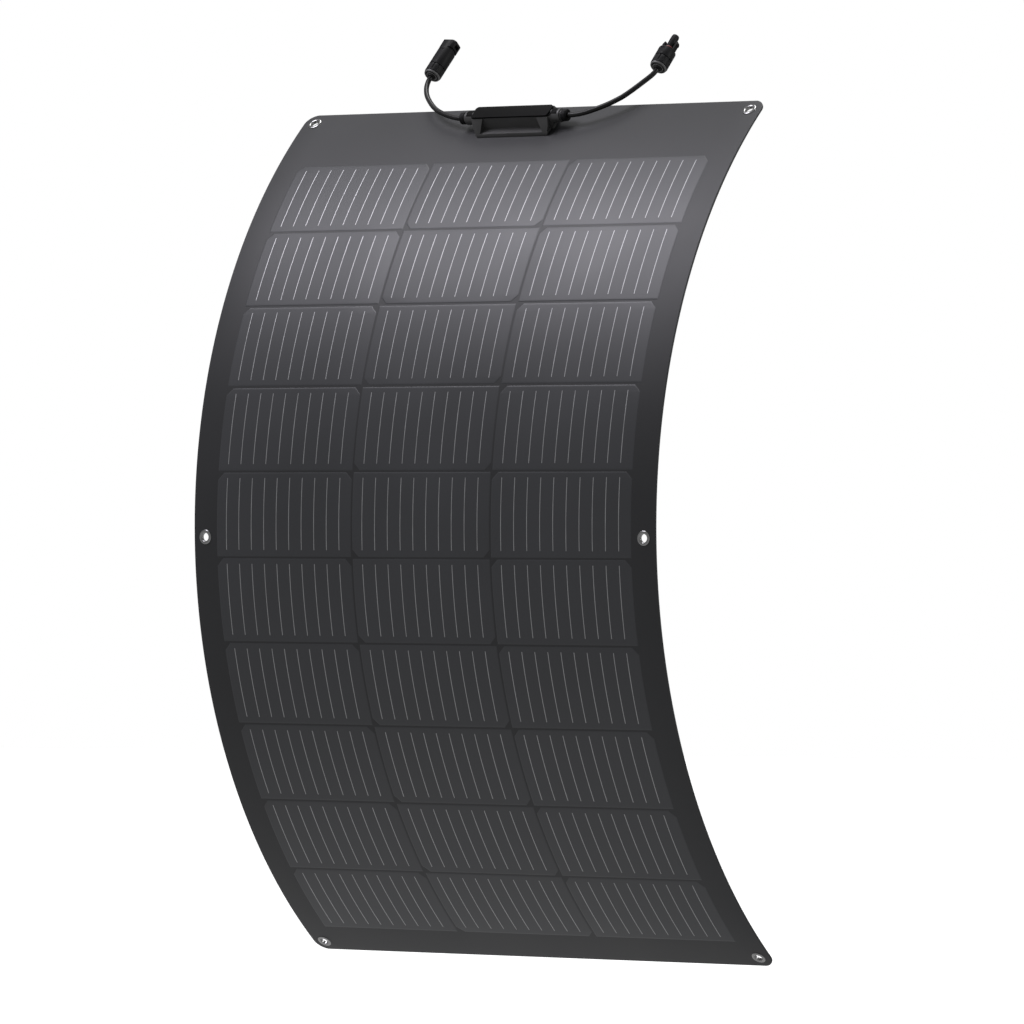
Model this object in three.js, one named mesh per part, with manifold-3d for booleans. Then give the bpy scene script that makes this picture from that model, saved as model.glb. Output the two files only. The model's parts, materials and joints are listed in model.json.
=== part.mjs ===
// A flexible solar sheet, in millimetres, held upright and bowed towards its front.
// +X is across the sheet, +Z is up and the cells face -Y. The origin is the middle of the
// flat strip on the back of row 5, the row that carries the two mid-length eyelets.
//
// Places on the sheet are given as (across, along, height): across from the sheet's centre
// line, along from its top edge, and height above the middle of its thickness, towards the
// front. The laminate is cut into a header and ten rows, hinged at the gaps between the
// rows of cells, and each strip is made of flat facets.

import * as THREE from 'three';
import { mergeVertices } from 'three/addons/utils/BufferGeometryUtils.js';
import Module from 'manifold-3d';

const wasm = await Module();
wasm.setup();

// ---------------------------------------------------------------- driving dimensions

// Laminate.
const SHEET_WIDTH = 612;
const SHEET_LENGTH = 1055;
const SHEET_THICKNESS = 2.5;
const BEND_RADIUS = 600;
const TOP_MARGIN = 84.5;
const HEADER_FLAT = 56;
const ROW_PITCH = 93;
const ROW_COUNT = 10;
const ROOT_ROW = 5;
const FACETS_PER_ROW = 3;
const CORNER_RADIUS = 15;
const STRIP_GAP = 0.8;
const GAP = 0.3;

// Lowest and highest face of each layer, measured from the middle of the thickness.
const BACK_SHEET = [-SHEET_THICKNESS / 2, -0.45];
const CELL_CARRIER = [-0.15, 0.05];
const CELL = [-0.05, 0.35];
const RIBBON = [-0.15, 0.35];
const FRONT_FILM = [0.65, SHEET_THICKNESS / 2];

// Half-cut cells.
const COLUMN_COUNT = 3;
const COLUMN_PITCH = 184;
const CELL_WIDTH = 182;
const CELL_LENGTH = 91;
const CELL_CHAMFER = 8;
const CARRIER_MARGIN = 4;

// Eyelets.
const EYELET_INSET = 15;
const EYELET_HOLE = 4.5;
const EYELET_BARREL = 5.2;
const EYELET_RIM = 8;
const EYELET_DOME = 0.9;
const EYELET_BACK_RIM = 7.4;

// Cell ribbons.
const RIBBON_WIDTH = 5;
const RIBBON_ALONG = 76;
const RIBBON_REACH = 70;
const TAIL_TOP = 26;
const BOTTOM_RIBBON_ALONG = 1018;

// Junction box. It is drawn about its gland axis: x across, y up the sheet, z off the film.
const BOX_ACROSS = -4.5;
const BOX_ALONG = 28.7;
const BOX_HEIGHT = 21.2;
const BOX_HALF = 50.5;
const BOX_FLOOR = 1.8;
const BOX_FOOT = 0.2;
const BOX_REAR = 16.7;
const BOX_FRONT = -8;
const LIP_FRONT = -19.2;
const LIP_TOP = -17.8;
const LIP_THICKNESS = 4.5;
const LID_THICKNESS = 2;
const LID_REAR = 8.7;
const LID_FRONT = -9.3;
const LID_REAR_HALF = 51.6;
const LID_FRONT_HALF = 50.2;
const CAVITY_HALF = 46;
const CAVITY_DEPTH = 6.6;
const LID_WAIST_HALF = 51.4;
const LID_CORNER = 2.5;
const SPIGOT_FOOT = BOX_HEIGHT - 4.5;
const SPIGOT_WALL = 2;
const WALL_TOP = BOX_HEIGHT - LID_THICKNESS - GAP;
const REAR_SKIRT_TOP = 3;
const CHEEK_INNER_TOP = 35.8;
const CHEEK_INNER_FOOT = 41.5;
const CHEEK_FOOT = 3;
const LIP_TRIM = 4.6;
const LIP_TRIM_TOP = 8;
const SHOULDER_FOOT = 4;
const POTTING_TOP = 9;
const TERMINAL_ACROSS = 20;
const TERMINAL_HALF_WIDTH = 2.4;
const TERMINAL_HALF_THICKNESS = 0.5;
const TERMINAL_TOP = 11;
const CRIMP_BORE = 1.2;
const CRIMP_RADIUS = 2.6;
const CRIMP_LENGTH = 22;
const SLOT_WIDTH = 5.8;
const SLOT_THICKNESS = 1.8;
const DIODE_HALF_LENGTH = 5;
const DIODE_HALF_WIDTH = 3;
const DIODE_HEIGHT = 4.2;
const DIODE_LEG_TOP = 12;
const DIODE_LEG_THICKNESS = 0.8;

// Cable glands at the two ends of the box.
const GLAND_HEIGHT = 12.75;
const GLAND_RADIUS = 7.5;
const SHOULDER_END = 57.5;
const GLAND_END = 63;
const NECK_RADIUS = 6;
const NECK_END = 64.5;
const GLAND_NUT_START = 64.8;
const GLAND_NUT_END = 71;
const GLAND_NUT_RADIUS = 6.7;
const GLAND_NUT_WALL = 1;
const GLAND_NUT_CHAMFER = 1.2;

// Leads. Each point of a route is across from the box's centre, along the sheet from its top
// edge, and height.
const LEAD_RADIUS = 2.8;
const LEAD_SIDES = 10;
const LEAD_STEPS = 18;
const LEAD_ROUTES = {
  left: [
    [-71.3, 28.7, 14], [-76, 28.2, 14], [-82, 26.9, 14], [-88, 25, 14], [-94, 22.8, 14.05],
    [-100, 20.3, 14.1], [-107.9, 16.6, 14.2], [-114.5, 12.6, 14.3], [-120.3, 8.3, 14.45],
    [-126.1, 3.2, 14.6], [-131.5, -2.1, 14.75], [-136.4, -7.4, 14.9], [-140.7, -13, 15.05],
    [-144.3, -19, 15.2], [-147.2, -25.2, 15.35], [-149, -31, 15.5], [-149.8, -36.4, 15.72],
    [-149.43, -41.65, 15.97],
  ],
  right: [
    [71.3, 28.7, 14], [76, 28.7, 14], [82, 28.1, 14], [88, 26.8, 14], [94, 24.8, 14.05],
    [100, 22.1, 14.1], [106, 19.1, 14.2], [112, 15.8, 14.3], [118, 12, 14.45], [124, 7.4, 14.6],
    [130, 1.9, 14.75], [135.4, -5, 14.9], [140.3, -12.4, 15.05], [145, -20, 15.2],
    [149, -26.6, 15.35], [152.2, -32.8, 15.5], [153.8, -37.9, 15.76], [154.09, -41.6, 15.97],
  ],
};

// Connectors, each drawn along +y from the face that its lead enters.
const CONNECTOR_FEET = { left: [-149.4, -42, 16], right: [154.1, -42, 16] };
const CONNECTOR_YAWS = { left: THREE.MathUtils.degToRad(-4), right: THREE.MathUtils.degToRad(-2) };
const CONNECTOR_LIFT = THREE.MathUtils.degToRad(4.3);
const CABLE_HOLE = 2.2;
const NUT_LENGTH = 13;
const NUT_RADIUS = 10;
const NUT_FLOOR = 3.4;
const NUT_GRIPS = 10;
const FLUTE_RADIUS = 1.3;
const TAIL_RADIUS = 7;
const CONTACT_HOLE = 2.6;
const SHELL_LENGTH = 51.5;
const SHELL_NECK = 38;
const SHELL_HEAD = 40;
const SHELL_BORE = 5.2;
const SHELL_BORE_END = 22;
const HEAD_HALF_WIDTH = 10;
const HEAD_HALF_DEPTH = 8.6;
const HEAD_CHAMFER = 3;
const CATCH_WINDOW = 5;
const PANEL_DEPTH = 0.6;
const PANEL_SPAN = [17, 35];
const PROBE_LENGTH = 48.3;
const PROBE_RADIUS = 4.35;
const PROBE_SHOULDER = 26;
const PROBE_COLLAR = 27.6;
const SEAL_GROOVE = [28.5, 30.7];
const SEAL_THICKNESS = 1.5;
const CONTACT_START = 5;
const CONTACT_RADIUS = 2.2;
const PIN_RADIUS = 1.9;
const PIN_END = 44.5;
const SOCKET_END = 45.7;
const FINGER_INNER = 6.6;
const FINGER_OUTER = 8.9;
const FINGER_ROOT = 23.8;
const FINGER_TIP = 38.6;
const FINGER_HALF_WIDTH = 2.6;
const BARB_START = 32.9;
const BARB_RISE = 0.9;

const ROUND_SIDES = 24;
const SMALL_SIDES = 12;

// ---------------------------------------------------------------- materials

const MATERIALS = {
  film: new THREE.MeshStandardMaterial({ color: 0x2c2d2f, roughness: 0.42, metalness: 0 }),
  backing: new THREE.MeshStandardMaterial({ color: 0x1c1d1f, roughness: 0.6, metalness: 0 }),
  silicon: new THREE.MeshStandardMaterial({ color: 0x1b1e26, roughness: 0.3, metalness: 0.2 }),
  steel: new THREE.MeshStandardMaterial({ color: 0xb4b6b8, roughness: 0.25, metalness: 1 }),
  tinned: new THREE.MeshStandardMaterial({ color: 0xc0c2c4, roughness: 0.35, metalness: 1 }),
  plastic: new THREE.MeshStandardMaterial({ color: 0x17181a, roughness: 0.5, metalness: 0 }),
  potting: new THREE.MeshStandardMaterial({ color: 0x3a3a3c, roughness: 0.7, metalness: 0 }),
  jacket: new THREE.MeshStandardMaterial({ color: 0x111213, roughness: 0.55, metalness: 0 }),
  seal: new THREE.MeshStandardMaterial({ color: 0x8c3a3c, roughness: 0.6, metalness: 0 }),
};

// ---------------------------------------------------------------- solids

// Leaves only shared positions on a geometry and turns its faces outwards.
function closed(geometry) {
  geometry.deleteAttribute('normal');
  geometry.deleteAttribute('uv');
  const merged = mergeVertices(geometry);
  const position = merged.attributes.position;
  const index = merged.index.array;
  const corner = [new THREE.Vector3(), new THREE.Vector3(), new THREE.Vector3()];
  let volume = 0;
  for (let face = 0; face < index.length; face += 3) {
    corner.forEach((point, k) => point.fromBufferAttribute(position, index[face + k]));
    volume += corner[0].dot(corner[1].clone().cross(corner[2]));
  }
  if (volume < 0) {
    for (let face = 0; face < index.length; face += 3) {
      [index[face], index[face + 1]] = [index[face + 1], index[face]];
    }
  }
  merged.computeVertexNormals();
  return merged;
}

function toManifold(geometry) {
  const solid = closed(geometry.clone());
  return new wasm.Manifold(new wasm.Mesh({
    numProp: 3,
    vertProperties: Float32Array.from(solid.attributes.position.array),
    triVerts: Uint32Array.from(solid.index.array),
  }));
}

function toGeometry(manifold) {
  const mesh = manifold.getMesh();
  const geometry = new THREE.BufferGeometry();
  geometry.setAttribute('position', new THREE.BufferAttribute(mesh.vertProperties, 3));
  geometry.setIndex(new THREE.BufferAttribute(mesh.triVerts, 1));
  geometry.computeVertexNormals();
  return geometry;
}

function join(first, ...others) {
  return toGeometry(others.reduce((sum, other) => sum.add(toManifold(other)), toManifold(first)));
}

function cut(body, ...tools) {
  return toGeometry(tools.reduce((rest, tool) => rest.subtract(toManifold(tool)), toManifold(body)));
}

function overlap(first, second) {
  return toGeometry(toManifold(first).intersect(toManifold(second)));
}

// A body through loops of points, each with the same number of points.
function loft(loops) {
  const size = loops[0].length;
  const points = loops.flat();
  const index = [];
  for (let ring = 0; ring + 1 < loops.length; ring += 1) {
    for (let k = 0; k < size; k += 1) {
      const a = ring * size + k;
      const b = ring * size + (k + 1) % size;
      index.push(a, b, b + size, a, b + size, a + size);
    }
  }
  const last = (loops.length - 1) * size;
  for (let k = 1; k + 1 < size; k += 1) {
    index.push(0, k + 1, k, last, last + k, last + k + 1);
  }
  const geometry = new THREE.BufferGeometry().setFromPoints(points);
  geometry.setIndex(index);
  return closed(geometry);
}

// A ring or solid of revolution about y through closed profile points [radius, y].
function turned(profile, sides = ROUND_SIDES) {
  const points = profile.map(([radius, y]) => new THREE.Vector2(radius, y));
  points.push(points[0].clone());
  return closed(new THREE.LatheGeometry(points, sides));
}

function rod(radius, start, end, sides = SMALL_SIDES) {
  const geometry = new THREE.CylinderGeometry(radius, radius, end - start, sides);
  return geometry.translate(0, (start + end) / 2, 0);
}

function block(x, y, z) {
  const geometry = new THREE.BoxGeometry(x[1] - x[0], y[1] - y[0], z[1] - z[0]);
  return geometry.translate((x[0] + x[1]) / 2, (y[0] + y[1]) / 2, (z[0] + z[1]) / 2);
}

function prism(outline, depth) {
  const shape = new THREE.Shape(outline.map(([x, y]) => new THREE.Vector2(x, y)));
  return new THREE.ExtrudeGeometry(shape, { depth, bevelEnabled: false });
}

// An outline of [y, z] points drawn out along x.
function prismAlongX(outline, x) {
  const turn = new THREE.Matrix4().makeBasis(
    new THREE.Vector3(0, 1, 0), new THREE.Vector3(0, 0, 1), new THREE.Vector3(1, 0, 0),
  );
  return prism(outline, x[1] - x[0]).applyMatrix4(turn).translate(x[0], 0, 0);
}

// An outline of [x, z] points drawn out along y.
function prismAlongY(outline, y) {
  return prism(outline, y[1] - y[0]).rotateX(Math.PI / 2).translate(0, y[1], 0);
}

function prismAlongZ(outline, z) {
  return prism(outline, z[1] - z[0]).translate(0, 0, z[0]);
}

const mirrorAcross = (outline) => outline.map(([x, other]) => [-x, other]);

// ---------------------------------------------------------------- the bowed sheet

const FACET_LENGTH = ROW_PITCH / FACETS_PER_ROW;
const ROOT_ALONG = TOP_MARGIN + (ROOT_ROW - 0.5) * ROW_PITCH;
const HALF_FACET_ANGLE = FACET_LENGTH / BEND_RADIUS / 2;
const BOW_CENTRE = (BEND_RADIUS - SHEET_THICKNESS / 2) * Math.cos(HALF_FACET_ANGLE);
const FILM_FACE = SHEET_THICKNESS / 2;

const CREASES = [0, HEADER_FLAT, TOP_MARGIN];
for (let facet = 1; facet <= ROW_COUNT * FACETS_PER_ROW; facet += 1) {
  CREASES.push(TOP_MARGIN + facet * FACET_LENGTH);
}
CREASES.push(SHEET_LENGTH);

function creasePoint(crease, height) {
  const angle = (ROOT_ALONG - CREASES[crease]) / BEND_RADIUS;
  const radius = BEND_RADIUS + height;
  return new THREE.Vector3(0, BOW_CENTRE - radius * Math.cos(angle), radius * Math.sin(angle));
}

function facetOf(along) {
  const next = CREASES.findIndex((crease) => crease > along);
  return THREE.MathUtils.clamp(next < 0 ? CREASES.length - 2 : next - 1, 0, CREASES.length - 2);
}

function sheetPoint(across, along, height) {
  const facet = facetOf(along);
  const share = (along - CREASES[facet]) / (CREASES[facet + 1] - CREASES[facet]);
  const point = creasePoint(facet, height).lerp(creasePoint(facet + 1, height), share);
  return point.setX(across);
}

// A group whose x runs across the sheet, y up the sheet and z out of its front.
function sheetGroup(across, along, height) {
  const facet = facetOf(along);
  const up = creasePoint(facet, 0).sub(creasePoint(facet + 1, 0));
  const group = new THREE.Group();
  group.position.copy(sheetPoint(across, along, height));
  group.rotation.x = Math.atan2(up.z, up.y);
  group.updateMatrix();
  return group;
}

// A slab of the laminate through stations { along, left, right }, bent at every crease.
function slab(stations, [low, high]) {
  const all = [stations[0]];
  for (let k = 1; k < stations.length; k += 1) {
    const before = stations[k - 1];
    const after = stations[k];
    for (const along of CREASES.filter((crease) => crease > before.along && crease < after.along)) {
      const share = (along - before.along) / (after.along - before.along);
      const left = THREE.MathUtils.lerp(before.left, after.left, share);
      const right = THREE.MathUtils.lerp(before.right, after.right, share);
      all.push({ along, left, right });
    }
    all.push(after);
  }
  return loft(all.map(({ along, left, right }) => [
    sheetPoint(left, along, low),
    sheetPoint(right, along, low),
    sheetPoint(right, along, high),
    sheetPoint(left, along, high),
  ]));
}

function band(left, right, start, end, layer) {
  return slab([{ along: start, left, right }, { along: end, left, right }], layer);
}

const STRIPS = [{ name: 'header', start: 0, end: TOP_MARGIN }];
for (let row = 1; row <= ROW_COUNT; row += 1) {
  const start = TOP_MARGIN + (row - 1) * ROW_PITCH;
  const end = row === ROW_COUNT ? SHEET_LENGTH : start + ROW_PITCH;
  STRIPS.push({ name: `row_${String(row).padStart(2, '0')}`, start, end });
}

// The strip's outline, with the sheet's round corners at its two free ends.
function stripStations({ start, end }) {
  const half = SHEET_WIDTH / 2;
  const stations = [];
  const corner = [];
  for (let degrees = 0; degrees <= 90; degrees += 18) {
    const angle = THREE.MathUtils.degToRad(degrees);
    corner.push({
      depth: CORNER_RADIUS * (1 - Math.cos(angle)),
      inset: CORNER_RADIUS * (1 - Math.sin(angle)),
    });
  }
  if (start === 0) {
    corner.forEach(({ depth, inset }) => {
      stations.push({ along: depth, left: inset - half, right: half - inset });
    });
  } else {
    stations.push({ along: start + STRIP_GAP / 2, left: -half, right: half });
  }
  if (end === SHEET_LENGTH) {
    corner.reverse().forEach(({ depth, inset }) => {
      stations.push({ along: end - depth, left: inset - half, right: half - inset });
    });
  } else {
    stations.push({ along: end - STRIP_GAP / 2, left: -half, right: half });
  }
  return stations;
}

// ---------------------------------------------------------------- eyelets

const EYELET_ALONG = { top: EYELET_INSET, middle: SHEET_LENGTH / 2, bottom: SHEET_LENGTH - EYELET_INSET };
const EYELETS = [];
for (const [level, along] of Object.entries(EYELET_ALONG)) {
  for (const [side, sign] of [['left', -1], ['right', 1]]) {
    EYELETS.push({ name: `eyelet_${level}_${side}`, along, across: sign * (SHEET_WIDTH / 2 - EYELET_INSET) });
  }
}

function eyeletGeometry() {
  const front = FILM_FACE + GAP;
  const back = -FILM_FACE - GAP;
  return turned([
    [EYELET_HOLE, back - 0.5],
    [EYELET_HOLE + 0.9, back - 0.9],
    [EYELET_BACK_RIM, back - 0.3],
    [EYELET_BACK_RIM, back],
    [EYELET_BARREL, back],
    [EYELET_BARREL, front],
    [EYELET_RIM, front],
    [EYELET_RIM, front + 0.2],
    [(EYELET_HOLE + EYELET_RIM) / 2, front + EYELET_DOME],
    [EYELET_HOLE + 0.5, front + 0.7],
    [EYELET_HOLE, front + 0.2],
  ]).rotateX(Math.PI / 2);
}

// Drills that leave room for the eyelets' barrels in a strip of the laminate.
function eyeletDrills({ start, end }) {
  return EYELETS.filter(({ along }) => along > start && along < end).map(({ across, along }) => {
    const drill = rod(EYELET_BARREL + GAP, -3, 3, ROUND_SIDES).rotateX(Math.PI / 2);
    return drill.applyMatrix4(sheetGroup(across, along, 0).matrix);
  });
}

// Slots in the film and in the box's floor for the two terminals.
function terminalSlots(z) {
  return [-1, 1].map((side) => {
    const centre = side * TERMINAL_ACROSS;
    const x = [centre - SLOT_WIDTH / 2, centre + SLOT_WIDTH / 2];
    return block(x, [-SLOT_THICKNESS / 2, SLOT_THICKNESS / 2], z);
  });
}

// ---------------------------------------------------------------- laminate layers

function frontFilm(strip) {
  const tools = eyeletDrills(strip);
  if (strip.start === 0) {
    const box = sheetGroup(BOX_ACROSS, BOX_ALONG, FILM_FACE);
    terminalSlots([-2, 2]).forEach((slot) => tools.push(slot.applyMatrix4(box.matrix)));
  }
  return cut(slab(stripStations(strip), FRONT_FILM), ...tools);
}

function backSheet(strip) {
  return cut(slab(stripStations(strip), BACK_SHEET), ...eyeletDrills(strip));
}

// Three half-cut cells tabbed to one strip of encapsulant. The outer columns have their two
// clipped corners at the top, and the middle column, turned round, has them at the bottom.
function cellRow(row) {
  const start = TOP_MARGIN + (row - 1) * ROW_PITCH;
  const half = COLUMN_COUNT * COLUMN_PITCH / 2 + CARRIER_MARGIN;
  const carrierEnds = [start + STRIP_GAP / 2, start + ROW_PITCH - STRIP_GAP / 2];
  const cells = [];
  for (let column = 0; column < COLUMN_COUNT; column += 1) {
    const centre = (column - (COLUMN_COUNT - 1) / 2) * COLUMN_PITCH;
    const left = centre - CELL_WIDTH / 2;
    const right = centre + CELL_WIDTH / 2;
    const top = start + (ROW_PITCH - CELL_LENGTH) / 2;
    const bottom = top + CELL_LENGTH;
    const clippedTop = column % 2 === 0;
    const topInset = clippedTop ? CELL_CHAMFER : 0;
    const bottomInset = CELL_CHAMFER - topInset;
    const stations = [{ along: top, left: left + topInset, right: right - topInset }];
    if (clippedTop) {
      stations.push({ along: top + CELL_CHAMFER, left, right });
    } else {
      stations.push({ along: bottom - CELL_CHAMFER, left, right });
    }
    stations.push({ along: bottom, left: left + bottomInset, right: right - bottomInset });
    cells.push(slab(stations, CELL));
  }
  return join(band(-half, half, ...carrierEnds, CELL_CARRIER), ...cells);
}

// Collector ribbons above and below the rows of cells.
function topRibbon(left, right, tailCentre) {
  const tailEnds = [tailCentre - RIBBON_WIDTH / 2, tailCentre + RIBBON_WIDTH / 2];
  return join(
    band(left, right, RIBBON_ALONG, RIBBON_ALONG + RIBBON_WIDTH, RIBBON),
    band(...tailEnds, TAIL_TOP, RIBBON_ALONG + 1, RIBBON),
  );
}

const NEGATIVE_TAIL = BOX_ACROSS - TERMINAL_ACROSS;
const POSITIVE_TAIL = BOX_ACROSS + TERMINAL_ACROSS;

function negativeRibbon() {
  return topRibbon(-COLUMN_PITCH - RIBBON_REACH, NEGATIVE_TAIL + RIBBON_WIDTH / 2, NEGATIVE_TAIL);
}

function topLinkRibbon() {
  return topRibbon(POSITIVE_TAIL - RIBBON_WIDTH / 2, COLUMN_PITCH + RIBBON_REACH, POSITIVE_TAIL);
}

function bottomLinkRibbon() {
  const end = BOTTOM_RIBBON_ALONG + RIBBON_WIDTH;
  return band(-COLUMN_PITCH - RIBBON_REACH, RIBBON_REACH, BOTTOM_RIBBON_ALONG, end, RIBBON);
}

// ---------------------------------------------------------------- junction box

// A round-cornered section at x whose roundness goes from 0, a rectangle, to 1, an ellipse.
function endSection(x, [yLow, yHigh], [zLow, zHigh], roundness) {
  const count = 16;
  const power = THREE.MathUtils.lerp(0.3, 1, roundness);
  const loop = [];
  for (let k = 0; k < count; k += 1) {
    const angle = (k + 0.5) / count * Math.PI * 2;
    const cosine = Math.cos(angle);
    const sine = Math.sin(angle);
    const y = Math.sign(cosine) * Math.abs(cosine) ** power;
    const z = Math.sign(sine) * Math.abs(sine) ** power;
    loop.push(new THREE.Vector3(
      x,
      THREE.MathUtils.lerp(yLow, yHigh, (1 + y) / 2),
      THREE.MathUtils.lerp(zLow, zHigh, (1 + z) / 2),
    ));
  }
  return loop;
}

// The shoulder, collar and threaded neck at one end of the box.
function glandBoss(side) {
  const aroundAxis = [GLAND_HEIGHT - GLAND_RADIUS, GLAND_HEIGHT + GLAND_RADIUS];
  const shoulder = loft([
    endSection(side * (BOX_HALF - 1), [BOX_FRONT, LID_REAR], [SHOULDER_FOOT, WALL_TOP], 0),
    endSection(side * (BOX_HALF + 1), [BOX_FRONT, LID_REAR], [SHOULDER_FOOT, WALL_TOP], 0.1),
    endSection(side * SHOULDER_END, [-GLAND_RADIUS, GLAND_RADIUS], aroundAxis, 1),
  ]);
  const axis = (geometry) => geometry.rotateZ(-side * Math.PI / 2).translate(0, 0, GLAND_HEIGHT);
  const collar = axis(rod(GLAND_RADIUS, SHOULDER_END - 3, GLAND_END, ROUND_SIDES));
  const neck = axis(rod(NECK_RADIUS, GLAND_END - 1, NECK_END, ROUND_SIDES));
  return join(shoulder, collar, neck);
}

function boxBase() {
  const shell = prismAlongX([
    [LIP_FRONT, BOX_FOOT], [BOX_REAR, BOX_FOOT], [BOX_REAR, REAR_SKIRT_TOP],
    [LID_REAR + 0.6, WALL_TOP], [BOX_FRONT, WALL_TOP],
    [BOX_FRONT, LIP_THICKNESS], [LIP_TOP, LIP_THICKNESS], [LIP_FRONT, 1],
  ], [-BOX_HALF, BOX_HALF]);
  const cheekSide = prismAlongX([
    [BOX_FRONT + 1, CHEEK_FOOT], [LIP_TOP, LIP_THICKNESS - 0.5], [LIP_TOP, LIP_THICKNESS],
    [LID_FRONT, WALL_TOP], [BOX_FRONT + 1, WALL_TOP],
  ], [-BOX_HALF, BOX_HALF]);
  const cheekFront = [
    [CHEEK_INNER_TOP, WALL_TOP], [CHEEK_INNER_FOOT, LIP_THICKNESS], [CHEEK_INNER_FOOT, CHEEK_FOOT],
    [BOX_HALF - 4, CHEEK_FOOT],
    [BOX_HALF - 2, 6], [BOX_HALF - 0.6, 10], [BOX_HALF, 14], [BOX_HALF, WALL_TOP],
  ];
  const fronts = [cheekFront, mirrorAcross(cheekFront)].map((outline) => (
    overlap(prismAlongY(outline, [LIP_FRONT, 0]), cheekSide)
  ));
  const lipCorner = [
    [BOX_HALF + 1, -1], [BOX_HALF + 1, LIP_TRIM_TOP], [BOX_HALF, LIP_TRIM_TOP], [BOX_HALF - LIP_TRIM, -1],
  ];
  const lipTrims = [lipCorner, mirrorAcross(lipCorner)].map((outline) => (
    prismAlongY(outline, [LIP_FRONT - 1, BOX_FRONT])
  ));
  const outside = cut(join(shell, ...fronts), ...lipTrims);
  const cavity = block([-CAVITY_HALF, CAVITY_HALF], [-CAVITY_DEPTH, CAVITY_DEPTH], [BOX_FLOOR, BOX_HEIGHT]);
  const cableWay = rod(LEAD_RADIUS + GAP, -NECK_END - 1, NECK_END + 1).rotateZ(Math.PI / 2);
  return cut(
    join(outside, glandBoss(-1), glandBoss(1)),
    cavity,
    cableWay.translate(0, 0, GLAND_HEIGHT),
    ...terminalSlots([-1, BOX_FLOOR + 1]),
  );
}

function boxLid() {
  const plate = prismAlongZ([
    [-LID_FRONT_HALF, LID_FRONT], [LID_FRONT_HALF, LID_FRONT], [LID_WAIST_HALF, 0],
    [LID_REAR_HALF, LID_REAR - LID_CORNER], [LID_REAR_HALF - LID_CORNER, LID_REAR],
    [LID_CORNER - LID_REAR_HALF, LID_REAR], [-LID_REAR_HALF, LID_REAR - LID_CORNER], [-LID_WAIST_HALF, 0],
  ], [BOX_HEIGHT - LID_THICKNESS, BOX_HEIGHT]);
  const half = CAVITY_HALF - GAP;
  const depth = CAVITY_DEPTH - GAP;
  const innerHalf = half - SPIGOT_WALL;
  const innerDepth = depth - SPIGOT_WALL;
  const spigot = block([-half, half], [-depth, depth], [SPIGOT_FOOT, BOX_HEIGHT - 1]);
  const hollow = block(
    [-innerHalf, innerHalf], [-innerDepth, innerDepth], [SPIGOT_FOOT - 1, SPIGOT_FOOT + SPIGOT_WALL],
  );
  return cut(join(plate, spigot), hollow);
}

function potting() {
  const half = CAVITY_HALF - GAP;
  const depth = CAVITY_DEPTH - GAP;
  const fill = block([-half, half], [-depth, depth], [BOX_FLOOR + GAP, POTTING_TOP]);
  return cut(fill, ...terminalSlots([0, POTTING_TOP + 1]));
}

// A tab that stands on the ribbon's tail and ends in a crimp barrel facing its gland.
function terminal(side) {
  const foot = RIBBON[1] + GAP - FILM_FACE;
  const centre = side * TERMINAL_ACROSS;
  const tab = block(
    [centre - TERMINAL_HALF_WIDTH, centre + TERMINAL_HALF_WIDTH],
    [-TERMINAL_HALF_THICKNESS, TERMINAL_HALF_THICKNESS],
    [foot, TERMINAL_TOP],
  );
  const start = TERMINAL_ACROSS - 1;
  const end = start + CRIMP_LENGTH;
  const barrel = turned([
    [CRIMP_BORE, start], [CRIMP_RADIUS, start], [CRIMP_RADIUS, end], [CRIMP_BORE, end],
  ], SMALL_SIDES);
  return join(tab, barrel.rotateZ(-side * Math.PI / 2).translate(0, 0, GLAND_HEIGHT));
}

function bypassDiode() {
  const foot = POTTING_TOP + GAP;
  const body = block(
    [-DIODE_HALF_LENGTH, DIODE_HALF_LENGTH],
    [-DIODE_HALF_WIDTH, DIODE_HALF_WIDTH],
    [foot, foot + DIODE_HEIGHT],
  );
  const reach = TERMINAL_ACROSS - 3;
  const legs = block([-reach, reach], [-1, 1], [DIODE_LEG_TOP - DIODE_LEG_THICKNESS, DIODE_LEG_TOP]);
  return join(body, legs);
}

function glandNut(side) {
  const ring = turned([
    [CABLE_HOLE, GLAND_NUT_START], [GLAND_NUT_RADIUS, GLAND_NUT_START],
    [GLAND_NUT_RADIUS, GLAND_NUT_END - GLAND_NUT_CHAMFER],
    [GLAND_NUT_RADIUS - GLAND_NUT_CHAMFER, GLAND_NUT_END],
    [CABLE_HOLE, GLAND_NUT_END], [CABLE_HOLE, GLAND_NUT_START + GLAND_NUT_WALL],
  ]);
  return ring.rotateZ(-side * Math.PI / 2);
}

// ---------------------------------------------------------------- leads and connectors

function lead(route) {
  const points = route.map(([across, along, height]) => new THREE.Vector3(across, -along, height));
  const section = new THREE.Shape();
  for (let k = 0; k < LEAD_SIDES; k += 1) {
    const angle = k / LEAD_SIDES * Math.PI * 2;
    const x = LEAD_RADIUS * Math.cos(angle);
    const y = LEAD_RADIUS * Math.sin(angle);
    section[k === 0 ? 'moveTo' : 'lineTo'](x, y);
  }
  section.closePath();
  const extrudePath = new THREE.CatmullRomCurve3(points);
  return closed(new THREE.ExtrudeGeometry(section, { steps: LEAD_STEPS, extrudePath, bevelEnabled: false }));
}

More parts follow.
